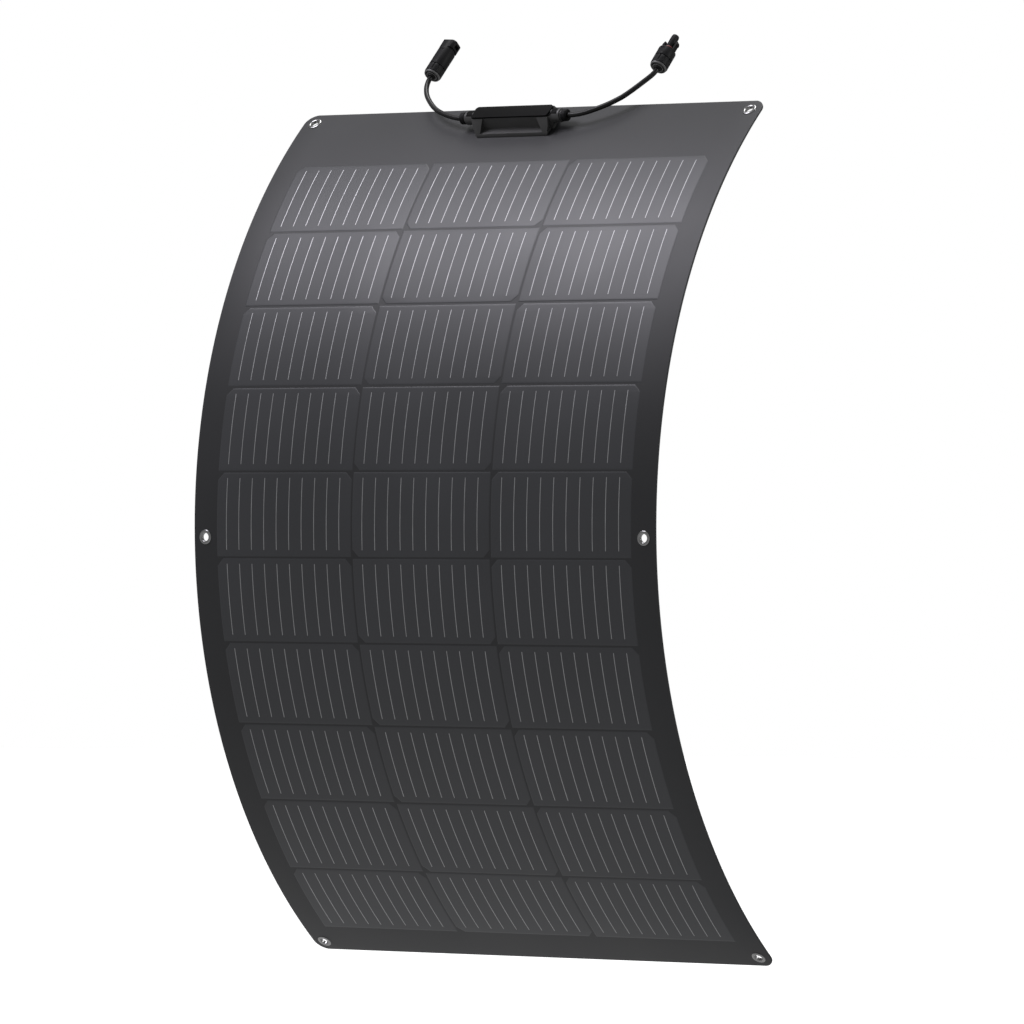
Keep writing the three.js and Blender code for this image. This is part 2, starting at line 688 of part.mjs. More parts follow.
function capNut() {
  const ring = turned([
    [CABLE_HOLE, 0], [TAIL_RADIUS - 0.6, 0], [TAIL_RADIUS - 0.2, 0.6], [NUT_RADIUS - 1, 2],
    [NUT_RADIUS, 3], [NUT_RADIUS, NUT_LENGTH], [TAIL_RADIUS + GAP, NUT_LENGTH],
    [TAIL_RADIUS + GAP, NUT_FLOOR], [CABLE_HOLE, NUT_FLOOR],
  ]);
  const flutes = [];
  for (let k = 0; k < NUT_GRIPS; k += 1) {
    const angle = k / NUT_GRIPS * Math.PI * 2;
    const reach = NUT_RADIUS + FLUTE_RADIUS / 2;
    const flute = rod(FLUTE_RADIUS, NUT_FLOOR + 0.6, NUT_LENGTH + 1, 8);
    flutes.push(flute.translate(reach * Math.cos(angle), 0, reach * Math.sin(angle)));
  }
  return cut(ring, ...flutes);
}

const TAIL_START = NUT_FLOOR + GAP;
const BODY_START = NUT_LENGTH + GAP;

// A tube on the connector's axis with the threaded tail that the cap nut screws on to.
function connectorBarrel(profile) {
  return turned([
    [CONTACT_HOLE, TAIL_START], [TAIL_RADIUS, TAIL_START], [TAIL_RADIUS, BODY_START],
    ...profile,
  ]);
}

// The depth range of the shallow flat panel on the front or back of a barrel.
function panelDepth(side) {
  return [side * NUT_RADIUS - PANEL_DEPTH, side * NUT_RADIUS + PANEL_DEPTH];
}

function pinShell() {
  const rim = NUT_RADIUS - 1.2;
  const barrel = connectorBarrel([
    [NUT_RADIUS, BODY_START], [NUT_RADIUS, SHELL_NECK - 1], [rim, SHELL_NECK],
    [rim, SHELL_LENGTH - 1], [SHELL_BORE, SHELL_LENGTH - 1],
    [SHELL_BORE, SHELL_BORE_END], [CONTACT_HOLE, SHELL_BORE_END],
  ]);
  const x = HEAD_HALF_WIDTH;
  const z = HEAD_HALF_DEPTH;
  const innerX = x - HEAD_CHAMFER;
  const innerZ = z - HEAD_CHAMFER;
  const mouth = prismAlongY([
    [-x, -innerZ], [-innerX, -z], [innerX, -z], [x, -innerZ],
    [x, innerZ], [innerX, z], [-innerX, z], [-x, innerZ],
  ], [SHELL_HEAD, SHELL_LENGTH]);
  const bore = rod(SHELL_BORE, SHELL_BORE_END + 1, SHELL_LENGTH + 1, ROUND_SIDES);
  const windowStart = SHELL_HEAD + 3;
  const window = block([-x - 1, x + 1], [windowStart, windowStart + CATCH_WINDOW], [-3, 3]);
  const panels = [-1, 1].map((side) => block([-4, 4], PANEL_SPAN, panelDepth(side)));
  return cut(join(barrel, mouth), bore, window, ...panels);
}

function pinContact() {
  const step = SHELL_BORE_END + 4;
  return turned([
    [0, CONTACT_START], [CONTACT_RADIUS, CONTACT_START], [CONTACT_RADIUS, step], [PIN_RADIUS, step + 1],
    [PIN_RADIUS, PIN_END - 1.4], [PIN_RADIUS - 0.7, PIN_END], [0, PIN_END],
  ], SMALL_SIDES);
}

function probeBody() {
  const [grooveStart, grooveEnd] = SEAL_GROOVE;
  const collarRadius = FINGER_INNER - 1.2;
  const grooveRadius = PROBE_RADIUS - 0.9;
  const barrel = connectorBarrel([
    [NUT_RADIUS, BODY_START], [NUT_RADIUS, PROBE_SHOULDER - 0.8], [NUT_RADIUS - 0.8, PROBE_SHOULDER],
    [collarRadius, PROBE_SHOULDER], [collarRadius, PROBE_COLLAR], [PROBE_RADIUS, PROBE_COLLAR],
    [PROBE_RADIUS, grooveStart], [grooveRadius, grooveStart], [grooveRadius, grooveEnd],
    [PROBE_RADIUS, grooveEnd], [PROBE_RADIUS, PROBE_LENGTH - 4], [PROBE_RADIUS - 0.5, PROBE_LENGTH],
    [CONTACT_HOLE, PROBE_LENGTH],
  ]);
  const width = FINGER_HALF_WIDTH + 0.4;
  const pockets = [-1, 1].map((side) => {
    const x = [side * (FINGER_INNER - 0.5), side * (NUT_RADIUS + 1)].sort((a, b) => a - b);
    return block(x, [FINGER_ROOT - 0.4, PROBE_SHOULDER + 1], [-width, width]);
  });
  const panels = [-1, 1].map((side) => block([-3.4, 3.4], [16, 23], panelDepth(side)));
  return cut(barrel, ...pockets, ...panels);
}

function probeContact() {
  return turned([
    [CRIMP_BORE, CONTACT_START], [CONTACT_RADIUS, CONTACT_START],
    [CONTACT_RADIUS, SOCKET_END], [CRIMP_BORE, SOCKET_END],
  ], SMALL_SIDES);
}

function probeSeal() {
  const count = 8;
  const radius = SEAL_THICKNESS / 2;
  const centre = [PROBE_RADIUS + 0.2, (SEAL_GROOVE[0] + SEAL_GROOVE[1]) / 2];
  const section = [];
  for (let k = 0; k < count; k += 1) {
    const angle = k / count * Math.PI * 2;
    section.push([centre[0] + radius * Math.cos(angle), centre[1] + radius * Math.sin(angle)]);
  }
  return turned(section);
}

function latchFinger(side) {
  const barb = FINGER_OUTER + BARB_RISE;
  const outline = [
    [FINGER_INNER, FINGER_ROOT], [FINGER_OUTER, FINGER_ROOT], [FINGER_OUTER, BARB_START],
    [barb, BARB_START + 0.6], [barb, BARB_START + 2], [FINGER_OUTER - 0.6, FINGER_TIP], [FINGER_INNER + 0.3, FINGER_TIP],
    [FINGER_INNER, FINGER_TIP - 2],
  ];
  const shape = side < 0 ? mirrorAcross(outline) : outline;
  return closed(prismAlongZ(shape, [-FINGER_HALF_WIDTH, FINGER_HALF_WIDTH]));
}

// ---------------------------------------------------------------- assembly

const sheet = new THREE.Group();

function add(parent, name, geometry, material) {
  const mesh = new THREE.Mesh(geometry, material);
  mesh.name = name;
  parent.add(mesh);
}

for (const strip of STRIPS) {
  add(sheet, `front_film_${strip.name}`, frontFilm(strip), MATERIALS.film);
  add(sheet, `back_sheet_${strip.name}`, backSheet(strip), MATERIALS.backing);
}
for (let row = 1; row <= ROW_COUNT; row += 1) {
  add(sheet, `cell_row_${String(row).padStart(2, '0')}`, cellRow(row), MATERIALS.silicon);
}
for (const { name, across, along } of EYELETS) {
  const place = sheetGroup(across, along, 0);
  sheet.add(place);
  add(place, name, eyeletGeometry(), MATERIALS.steel);
}
add(sheet, 'ribbon_negative', negativeRibbon(), MATERIALS.tinned);
add(sheet, 'ribbon_top_link', topLinkRibbon(), MATERIALS.tinned);
add(sheet, 'ribbon_bottom_link', bottomLinkRibbon(), MATERIALS.tinned);

const box = sheetGroup(BOX_ACROSS, BOX_ALONG, FILM_FACE);
sheet.add(box);
add(box, 'junction_box_base', boxBase(), MATERIALS.plastic);
add(box, 'junction_box_lid', boxLid(), MATERIALS.plastic);
add(box, 'junction_box_potting', potting(), MATERIALS.potting);
add(box, 'bypass_diode', bypassDiode(), MATERIALS.plastic);
add(box, 'terminal_negative', terminal(-1), MATERIALS.tinned);
add(box, 'terminal_positive', terminal(1), MATERIALS.tinned);

const glands = new THREE.Group();
glands.position.z = GLAND_HEIGHT;
box.add(glands);
add(glands, 'gland_nut_left', glandNut(-1), MATERIALS.plastic);
add(glands, 'gland_nut_right', glandNut(1), MATERIALS.plastic);

const leads = sheetGroup(BOX_ACROSS, 0, 0);
sheet.add(leads);
add(leads, 'lead_left', lead(LEAD_ROUTES.left), MATERIALS.jacket);
add(leads, 'lead_right', lead(LEAD_ROUTES.right), MATERIALS.jacket);

function connectorGroup(side) {
  const [across, along, height] = CONNECTOR_FEET[side];
  const group = new THREE.Group();
  group.position.set(across, -along, height);
  group.rotation.set(CONNECTOR_LIFT, 0, CONNECTOR_YAWS[side]);
  leads.add(group);
  return group;
}

const pinConnector = connectorGroup('left');
add(pinConnector, 'pin_connector_cap_nut', capNut(), MATERIALS.plastic);
add(pinConnector, 'pin_connector_shell', pinShell(), MATERIALS.plastic);
add(pinConnector, 'pin_connector_contact', pinContact(), MATERIALS.tinned);

const probeConnector = connectorGroup('right');
add(probeConnector, 'probe_connector_cap_nut', capNut(), MATERIALS.plastic);
add(probeConnector, 'probe_connector_body', probeBody(), MATERIALS.plastic);
add(probeConnector, 'probe_connector_contact', probeContact(), MATERIALS.tinned);
add(probeConnector, 'probe_connector_seal', probeSeal(), MATERIALS.seal);
add(probeConnector, 'latch_finger_left', latchFinger(-1), MATERIALS.plastic);
add(probeConnector, 'latch_finger_right', latchFinger(1), MATERIALS.plastic);

export default sheet;
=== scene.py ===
"""A flexible solar sheet, upright and bowed, with a junction box and two short leads.

Shapes are worked out in millimetres and turned into metres in the part's own frame when a
mesh is made. A place on the sheet is (across, along, height): across from the centre line,
along from the top edge, and height above the middle of the thickness, towards the cells.
"""

import json
import math

import bmesh
import bpy
from mathutils import Matrix, Vector
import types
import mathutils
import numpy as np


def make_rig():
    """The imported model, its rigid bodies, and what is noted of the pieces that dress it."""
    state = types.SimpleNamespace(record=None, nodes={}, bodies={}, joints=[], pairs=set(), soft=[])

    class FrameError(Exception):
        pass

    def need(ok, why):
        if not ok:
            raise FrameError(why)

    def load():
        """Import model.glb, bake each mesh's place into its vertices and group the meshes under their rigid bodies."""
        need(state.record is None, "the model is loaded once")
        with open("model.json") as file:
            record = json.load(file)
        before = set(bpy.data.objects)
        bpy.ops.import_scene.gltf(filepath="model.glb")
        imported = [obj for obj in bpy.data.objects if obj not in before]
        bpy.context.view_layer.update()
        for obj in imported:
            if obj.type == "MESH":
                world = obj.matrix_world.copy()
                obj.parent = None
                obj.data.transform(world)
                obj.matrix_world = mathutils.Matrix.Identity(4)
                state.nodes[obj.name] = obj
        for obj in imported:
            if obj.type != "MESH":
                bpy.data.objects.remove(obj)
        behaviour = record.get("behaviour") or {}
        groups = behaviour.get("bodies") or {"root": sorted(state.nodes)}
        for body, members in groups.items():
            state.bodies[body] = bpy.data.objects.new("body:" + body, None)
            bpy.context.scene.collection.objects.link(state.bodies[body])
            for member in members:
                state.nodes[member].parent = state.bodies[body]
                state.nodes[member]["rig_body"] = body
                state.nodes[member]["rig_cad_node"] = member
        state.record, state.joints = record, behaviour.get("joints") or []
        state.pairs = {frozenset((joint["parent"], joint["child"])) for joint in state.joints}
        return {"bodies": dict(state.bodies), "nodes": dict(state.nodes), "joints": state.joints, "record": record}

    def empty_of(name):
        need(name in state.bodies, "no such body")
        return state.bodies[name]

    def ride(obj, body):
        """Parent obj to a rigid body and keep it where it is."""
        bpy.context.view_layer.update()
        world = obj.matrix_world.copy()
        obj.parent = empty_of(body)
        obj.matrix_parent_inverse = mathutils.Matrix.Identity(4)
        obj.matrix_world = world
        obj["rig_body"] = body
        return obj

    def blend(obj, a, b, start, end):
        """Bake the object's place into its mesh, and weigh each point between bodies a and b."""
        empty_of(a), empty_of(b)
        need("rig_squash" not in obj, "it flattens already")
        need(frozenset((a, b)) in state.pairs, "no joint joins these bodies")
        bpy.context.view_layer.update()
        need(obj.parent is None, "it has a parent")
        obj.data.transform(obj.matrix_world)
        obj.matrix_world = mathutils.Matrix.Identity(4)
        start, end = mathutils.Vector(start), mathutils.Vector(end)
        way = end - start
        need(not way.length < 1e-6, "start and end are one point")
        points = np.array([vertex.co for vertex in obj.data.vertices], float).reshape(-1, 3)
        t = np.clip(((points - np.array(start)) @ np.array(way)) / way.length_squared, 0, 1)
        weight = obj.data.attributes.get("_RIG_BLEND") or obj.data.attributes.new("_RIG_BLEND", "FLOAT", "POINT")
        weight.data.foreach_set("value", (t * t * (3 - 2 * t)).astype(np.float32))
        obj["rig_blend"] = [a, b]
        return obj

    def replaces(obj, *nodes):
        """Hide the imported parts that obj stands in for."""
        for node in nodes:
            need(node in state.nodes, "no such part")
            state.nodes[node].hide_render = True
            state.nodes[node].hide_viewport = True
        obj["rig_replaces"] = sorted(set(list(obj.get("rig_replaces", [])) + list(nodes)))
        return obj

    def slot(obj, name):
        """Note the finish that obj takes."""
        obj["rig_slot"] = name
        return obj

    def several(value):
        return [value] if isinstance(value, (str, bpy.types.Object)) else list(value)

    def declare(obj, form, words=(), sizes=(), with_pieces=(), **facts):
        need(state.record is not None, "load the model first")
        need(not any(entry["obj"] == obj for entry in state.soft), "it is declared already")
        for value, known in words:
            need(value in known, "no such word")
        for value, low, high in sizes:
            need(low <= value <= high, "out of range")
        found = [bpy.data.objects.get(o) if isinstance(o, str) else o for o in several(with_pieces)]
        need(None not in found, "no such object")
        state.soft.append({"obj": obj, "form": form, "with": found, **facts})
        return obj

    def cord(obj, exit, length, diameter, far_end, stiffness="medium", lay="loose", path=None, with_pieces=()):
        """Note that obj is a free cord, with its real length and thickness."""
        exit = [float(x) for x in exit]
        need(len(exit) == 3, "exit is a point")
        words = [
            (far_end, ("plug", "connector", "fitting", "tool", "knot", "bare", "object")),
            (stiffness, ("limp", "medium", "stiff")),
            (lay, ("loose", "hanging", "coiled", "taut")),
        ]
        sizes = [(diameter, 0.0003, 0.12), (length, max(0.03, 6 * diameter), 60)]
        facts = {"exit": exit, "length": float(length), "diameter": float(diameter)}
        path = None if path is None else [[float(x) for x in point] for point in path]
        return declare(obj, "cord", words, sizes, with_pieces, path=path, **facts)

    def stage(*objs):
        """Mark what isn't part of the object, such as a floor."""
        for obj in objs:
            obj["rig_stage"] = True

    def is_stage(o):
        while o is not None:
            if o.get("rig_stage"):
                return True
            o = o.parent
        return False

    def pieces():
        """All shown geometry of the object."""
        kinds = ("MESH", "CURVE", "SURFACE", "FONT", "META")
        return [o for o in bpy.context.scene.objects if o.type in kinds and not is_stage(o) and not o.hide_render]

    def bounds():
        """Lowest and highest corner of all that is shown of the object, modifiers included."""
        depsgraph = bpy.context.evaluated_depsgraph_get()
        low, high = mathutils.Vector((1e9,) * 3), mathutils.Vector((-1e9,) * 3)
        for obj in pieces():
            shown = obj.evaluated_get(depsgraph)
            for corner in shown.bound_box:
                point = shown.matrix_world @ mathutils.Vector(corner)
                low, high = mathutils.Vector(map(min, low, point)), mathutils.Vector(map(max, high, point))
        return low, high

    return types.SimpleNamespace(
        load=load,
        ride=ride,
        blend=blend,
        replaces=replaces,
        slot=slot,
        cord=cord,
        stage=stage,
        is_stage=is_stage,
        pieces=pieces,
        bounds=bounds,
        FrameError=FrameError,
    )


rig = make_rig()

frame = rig.load()
CAD_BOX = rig.bounds()

MM = 0.001

# ---------------------------------------------------------------- camera

CAMERA_PLACE = (5.31834, -7.20421, -0.14171)
CAMERA_AXES = (  # right, up and back
    (0.810926, 0.585016, 0.012503),
    (-0.000612, -0.020519, 0.999789),
    (0.585149, -0.810762, -0.016281),
)


def make_camera():
    data = bpy.data.cameras.new("camera")
    data.sensor_width = 36
    data.lens = 294.45
    data.clip_start = 0.1
    data.clip_end = 100
    camera = bpy.data.objects.new("camera", data)
    turn = Matrix(CAMERA_AXES).transposed().to_4x4()
    camera.matrix_world = Matrix.Translation(CAMERA_PLACE) @ turn
    bpy.context.scene.collection.objects.link(camera)
    bpy.context.scene.camera = camera


make_camera()
bpy.context.scene.view_settings.view_transform = "Standard"

# ---------------------------------------------------------------- the bowed sheet

SHEET_HALF = 306.0
SHEET_LENGTH = 1055.0
BEND_RADIUS = 600.0
ROOT_ALONG = 503.0
FACE = 1.25
LAYER_SEAM = -0.2
BOW_CENTRE = (BEND_RADIUS - FACE) * math.cos(15.5 / BEND_RADIUS)
HEADER_FLAT = 56.0
TOP_MARGIN = 84.5
ROW_PITCH = 93.0
ROWS = 10
CORNER = 15.0
SHEET_STEP = 1.55
PATCH_STEP = 3.1


def place(across, along, height):
    """A place on the bowed sheet, in millimetres."""
    angle = (ROOT_ALONG - along) / BEND_RADIUS
    radius = BEND_RADIUS + height
    return Vector((across, BOW_CENTRE - radius * math.cos(angle), radius * math.sin(angle)))


def sheet_frame(across, along, height=0.0):
    """x across, y up the sheet and z out of its front, standing at a place on the sheet."""
    angle = (ROOT_ALONG - along) / BEND_RADIUS
    up = Vector((0, math.sin(angle), math.cos(angle)))
    out = Vector((0, -math.cos(angle), math.sin(angle)))
    return axes_at(place(across, along, height), Vector((1, 0, 0)), up, out)


def axes_at(origin, x, y, z):
    turn = Matrix((x, y, z)).transposed().to_4x4()
    return Matrix.Translation(origin) @ turn


def header_frame(across, along, height):
    """The same on the flat strip under the junction box, which is a chord of the bow."""
    top, foot = place(across, 0, height), place(across, HEADER_FLAT, height)
    up = (place(0, 0, 0) - place(0, HEADER_FLAT, 0)).normalized()
    out = Vector((0, -up.z, up.y))
    return axes_at(top.lerp(foot, along / HEADER_FLAT), Vector((1, 0, 0)), up, out)


BOX_FRAME = header_frame(-4.5, 28.7, FACE)
LEAD_FRAME = header_frame(-4.5, 0, 0)

# ---------------------------------------------------------------- materials


class Surface:
    """A procedural material, built round one Principled shader."""

    def __init__(self, name, metallic=0.0, specular=0.5):
        self.material = bpy.data.materials.new(name)
        self.material.use_nodes = True
        self.nodes = self.material.node_tree.nodes
        self.links = self.material.node_tree.links
        self.shader = self.nodes["Principled BSDF"]
        self.shader.inputs["Metallic"].default_value = metallic
        self.shader.inputs["Specular IOR Level"].default_value = specular

    def node(self, kind, settings=None, **inputs):
        node = self.nodes.new("ShaderNode" + kind)
        for name, value in (settings or {}).items():
            setattr(node, name, value)
        for name, value in inputs.items():
            socket = node.inputs[name.replace("_", " ")]
            if isinstance(value, bpy.types.NodeSocket):
                self.links.new(value, socket)
            else:
                socket.default_value = value
        return node

    def sheet_place(self, scale=(1, 1, 1)):
        """Places on the flat sheet, in metres times scale, which bend with it."""
        uv = self.node("UVMap", {"uv_map": "sheet"})
        return self.node("Mapping", Vector=uv.outputs["UV"], Scale=scale).outputs["Vector"]

    def solid_place(self, scale=(1, 1, 1)):
        """Places in space, in metres times scale."""
        object_place = self.node("TexCoord").outputs["Object"]
        return self.node("Mapping", Vector=object_place, Scale=scale).outputs["Vector"]

    def noise(self, where, scale, detail=2.0, roughness=0.5):
        made = self.node("TexNoise", Vector=where, Scale=scale, Detail=detail, Roughness=roughness)
        return made.outputs["Fac"]

    def spread(self, value, low, high, start=0.3, end=0.7):
        """value's range from start to end, stretched to run from low to high."""
        made = self.node(
            "MapRange", Value=value, From_Min=start, From_Max=end, To_Min=low, To_Max=high
        )
        return made.outputs["Result"]

    def mix(self, share, first, second):
        made = self.node("Mix", {"data_type": "RGBA"})
        for number, value in ((0, share), (6, first), (7, second)):
            socket = made.inputs[number]
            if isinstance(value, bpy.types.NodeSocket):
                self.links.new(value, socket)
            else:
                socket.default_value = value
        return made.outputs[2]

    def colour(self, value):
        self.links.new(value, self.shader.inputs["Base Color"])

    def rough(self, value):
        self.links.new(value, self.shader.inputs["Roughness"])

    def bump(self, height, strength, distance):
        before = self.shader.inputs["Normal"]
        made = self.node("Bump", Height=height, Strength=strength, Distance=distance)
        if before.is_linked:
            self.links.new(before.links[0].from_socket, made.inputs["Normal"])
        self.links.new(made.outputs["Normal"], before)


def grey(value, blue=1.0, red=1.0):
    return (value * red, value, value * blue, 1.0)


def laminate(name, dark, light, specular, roughness, grain):
    """The textured film: a soft pebble on the front, slightly uneven in tone."""
    made = Surface(name, specular=specular)
    clouds = made.noise(made.sheet_place(), 7.0, 3.0)
    fine = made.noise(made.sheet_place(), 900.0, 2.0)
    tone = made.mix(made.spread(clouds, 0, 1), dark, light)
    made.colour(made.mix(made.spread(fine, 0.0, 0.25), tone, grey(light[0] * 1.5)))
    made.rough(made.spread(clouds, roughness - 0.03, roughness + 0.03))
    made.bump(fine, 0.25, grain)
    return made


def film_material():
    """The film over the margins, and the darker gaps between the cells."""
    made = laminate("film", grey(0.013, 1.12, 0.96), grey(0.017, 1.12, 0.96), 0.38, 0.5, 0.0001)
    return made.material


def cell_material():
    """The film over a cell, with the cell's fine collecting lines faintly across it."""
    made = laminate("cell", grey(0.022, 1.16, 0.95), grey(0.027, 1.16, 0.95), 0.50, 0.46, 0.0001)
    lines = made.node(
        "TexWave", {"bands_direction": "Y"}, Vector=made.sheet_place(), Scale=100.0
    )
    made.bump(lines.outputs["Fac"], 0.05, 0.00005)
    return made.material


def busbar_material():
    made = Surface("busbar", metallic=0.85, specular=0.6)
    streak = made.noise(made.sheet_place((600, 60, 1)), 1.0, 3.0)
    made.colour(made.mix(made.spread(streak, 0, 1), grey(0.28, 1.02), grey(0.36, 1.02)))
    made.rough(made.spread(streak, 0.4, 0.5))
    made.bump(streak, 0.3, 0.0001)
    return made.material


def backing_material():
    """A black back sheet over glass cloth, whose weave shows through faintly."""
    made = Surface("backing", specular=0.35)
    warp = made.node("TexWave", {"bands_direction": "X"}, Vector=made.sheet_place(), Scale=180.0)
    weft = made.node("TexWave", {"bands_direction": "Y"}, Vector=made.sheet_place(), Scale=180.0)
    weave = made.node("Math", {"operation": "MULTIPLY"})
    made.links.new(warp.outputs["Fac"], weave.inputs[0])
    made.links.new(weft.outputs["Fac"], weave.inputs[1])
    clouds = made.noise(made.sheet_place(), 9.0, 4.0)
    tone = made.mix(made.spread(clouds, 0, 1), grey(0.016), grey(0.022))
    made.colour(made.mix(made.spread(weave.outputs[0], 0, 0.35, 0, 1), tone, grey(0.03)))
    made.rough(made.spread(clouds, 0.5, 0.62))
    made.bump(weave.outputs[0], 0.3, 0.0001)
    return made.material


def plastic_material(name, dark, light, roughness, grain=0.00008, specular=0.5):
    """Black moulded plastic with a spark-eroded grain."""
    made = Surface(name, specular=specular)
    where = made.solid_place()
    clouds = made.noise(where, 60.0, 3.0)
    fine = made.noise(where, 2600.0, 2.0)
    made.colour(made.mix(made.spread(clouds, 0, 1), dark, light))
    made.rough(made.spread(fine, roughness - 0.06, roughness + 0.06))
    made.bump(fine, 0.15, grain)
    return made.material


def metal_material(name, base, roughness, scratches):
    made = Surface(name, metallic=1.0)
    where = made.solid_place(scratches)
    streak = made.noise(where, 1.0, 4.0, 0.6)
    made.colour(made.mix(made.spread(streak, 0, 1), grey(base * 0.82), grey(base)))
    made.rough(made.spread(streak, roughness - 0.07, roughness + 0.09))
    made.bump(streak, 0.12, 0.00005)
    return made.material


FILM = film_material()
CELL = cell_material()
BUSBAR = busbar_material()
BACKING = backing_material()
BOX = plastic_material("box_plastic", grey(0.036), grey(0.044), 0.46, specular=0.4)
LID = plastic_material("lid_plastic", grey(0.002), grey(0.003), 0.55, specular=0.05)
CONNECTOR = plastic_material(
    "connector_plastic", grey(0.005, 1.1), grey(0.007, 1.1), 0.5, 0.00001, specular=0.1
)
# Pale grey for the rims at the cap nuts' mouths: a painted highlight on black connector plastic, not a plastic of its
# own colour.
RIM_HIGHLIGHT = plastic_material("rim_painted_highlight", grey(0.07), grey(0.09), 0.45, 0.00003)
JACKET = plastic_material("cable_jacket", grey(0.005), grey(0.008), 0.38, 0.00002, 0.22)
RUBBER = plastic_material("rubber", grey(0.004), grey(0.006), 0.6, 0.00004, 0.2)
POTTING = plastic_material("potting", grey(0.04), grey(0.05), 0.6)
SEAL = plastic_material("seal", (0.16, 0.035, 0.035, 1), (0.22, 0.05, 0.05, 1), 0.5, 0.00003)
STEEL = metal_material("steel", 0.3, 0.22, (900, 900, 900))
TINNED = metal_material("tinned_copper", 0.7, 0.34, (1500, 200, 1500))

# ---------------------------------------------------------------- meshes

SMOOTH_ANGLE = math.radians(32)


def finished(mesh, name, material, placing=None, bevel=0.0, segments=3):
    """Moves a mesh from millimetres to its place in metres and makes it an object."""
    if placing is not None:
        mesh.transform(placing)
    mesh.transform(Matrix.Scale(MM, 4))
    mesh.validate()
    obj = bpy.data.objects.new(name, mesh)
    bpy.context.scene.collection.objects.link(obj)
    if bevel:
        rounding = obj.modifiers.new("rounding", "BEVEL")
        rounding.width = bevel * MM
        rounding.segments = segments
        rounding.limit_method = "ANGLE"
        rounding.angle_limit = SMOOTH_ANGLE
        rounding.harden_normals = False
        apply_modifiers(obj)
    obj.data.materials.clear()
    obj.data.materials.append(material)
    obj.data.shade_smooth()
    obj.data.set_sharp_from_angle(angle=SMOOTH_ANGLE)
    return obj


def apply_modifiers(obj):
    depsgraph = bpy.context.evaluated_depsgraph_get()
    depsgraph.update()
    mesh = bpy.data.meshes.new_from_object(obj.evaluated_get(depsgraph))
    obj.modifiers.clear()
    old = obj.data
    obj.data = mesh
    bpy.data.meshes.remove(old)


def from_faces(points, faces):
    mesh = bpy.data.meshes.new("shape")
    mesh.from_pydata([tuple(p) for p in points], [], faces)
    outward(mesh)
    return mesh


def outward(mesh):
    shape = bmesh.new()
    shape.from_mesh(mesh)
    bmesh.ops.recalc_face_normals(shape, faces=shape.faces)
    shape.to_mesh(mesh)
    shape.free()


def loft(loops, closed_ends=True):
    """A skin over loops of points, each with the same number of points."""
    size = len(loops[0])
    points = [p for loop in loops for p in loop]
    faces = []
    for ring in range(len(loops) - 1):
        for k in range(size):
            a, b = ring * size + k, ring * size + (k + 1) % size
            faces.append((a, b, b + size, a + size))
    if closed_ends:
        faces.append(tuple(reversed(range(size))))
        faces.append(tuple(range((len(loops) - 1) * size, len(loops) * size)))
    return from_faces(points, faces)


def turned(profile, sides=64, radius_at=None):
    """A ring or solid of revolution about y through a closed profile of (radius, y)."""
    points, faces = [], []
    count = len(profile)
    for side in range(sides):
        angle = side / sides * 2 * math.pi
        for radius, y in profile:
            r = radius_at(radius, y, angle) if radius_at else radius
            points.append((r * math.cos(angle), y, r * math.sin(angle)))
    for side in range(sides):
        after = (side + 1) % sides
        for k in range(count):
            nxt = (k + 1) % count
            faces.append((side * count + k, side * count + nxt, after * count + nxt, after * count + k))
    mesh = from_faces(points, faces)
    shape = bmesh.new()
    shape.from_mesh(mesh)
    bmesh.ops.remove_doubles(shape, verts=shape.verts, dist=1e-5)
    bmesh.ops.recalc_face_normals(shape, faces=shape.faces)
    shape.to_mesh(mesh)
    shape.free()
    return mesh


def prism(outline, low, high, along):
    """An outline drawn out from low to high: [y, z] along x, [x, z] along y, [x, y] along z."""
    def point(a, b, c):
        return {"x": (c, a, b), "y": (a, c, b), "z": (a, b, c)}[along]

    return loft([[point(a, b, low) for a, b in outline], [point(a, b, high) for a, b in outline]])


def block(x, y, z):
    return prism([(x[0], y[0]), (x[1], y[0]), (x[1], y[1]), (x[0], y[1])], z[0], z[1], "z")


def rod(radius, low, high, along="y", sides=48):
    ring = [
        (radius * math.cos(k / sides * 2 * math.pi), radius * math.sin(k / sides * 2 * math.pi))
        for k in range(sides)
    ]
    return prism(ring, low, high, along)


def moved(mesh, matrix):
    mesh.transform(matrix)
    return mesh


def carved(first, *steps):
    """first joined with, cut by or kept within other meshes: steps of (operation, mesh)."""
    body = bpy.data.objects.new("body", first)
    bpy.context.scene.collection.objects.link(body)
    tools = []
    for operation, mesh in steps:
        tool = bpy.data.objects.new("tool", mesh)
        bpy.context.scene.collection.objects.link(tool)
        tools.append(tool)
        step = body.modifiers.new("step", "BOOLEAN")
        step.operation = operation
        step.solver = "EXACT"
        step.object = tool
    apply_modifiers(body)
    mesh = body.data
    bpy.data.objects.remove(body)
    for tool in tools:
        bpy.data.objects.remove(tool)
    return mesh


def rounded(outline, radius, steps=4):
    """An outline with its corners rounded."""
    result = []
    count = len(outline)
    for k in range(count):
        before, corner, after = (Vector(outline[(k + d) % count]) for d in (-1, 0, 1))
        reach = min(radius, (before - corner).length * 0.45, (after - corner).length * 0.45)
        start = corner + (before - corner).normalized() * reach
        end = corner + (after - corner).normalized() * reach
        for step in range(steps + 1):
            t = step / steps
            result.append(tuple(start * (1 - t) ** 2 + corner * 2 * t * (1 - t) + end * t ** 2))
    return result


def shown(obj, body, slot, *nodes):
    """Puts an object on a body, in a colour slot, and in the place of CAD nodes."""
    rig.ride(obj, body)
    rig.slot(obj, slot)
    if nodes:
        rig.replaces(obj, *nodes)
    return obj


# ---------------------------------------------------------------- leads

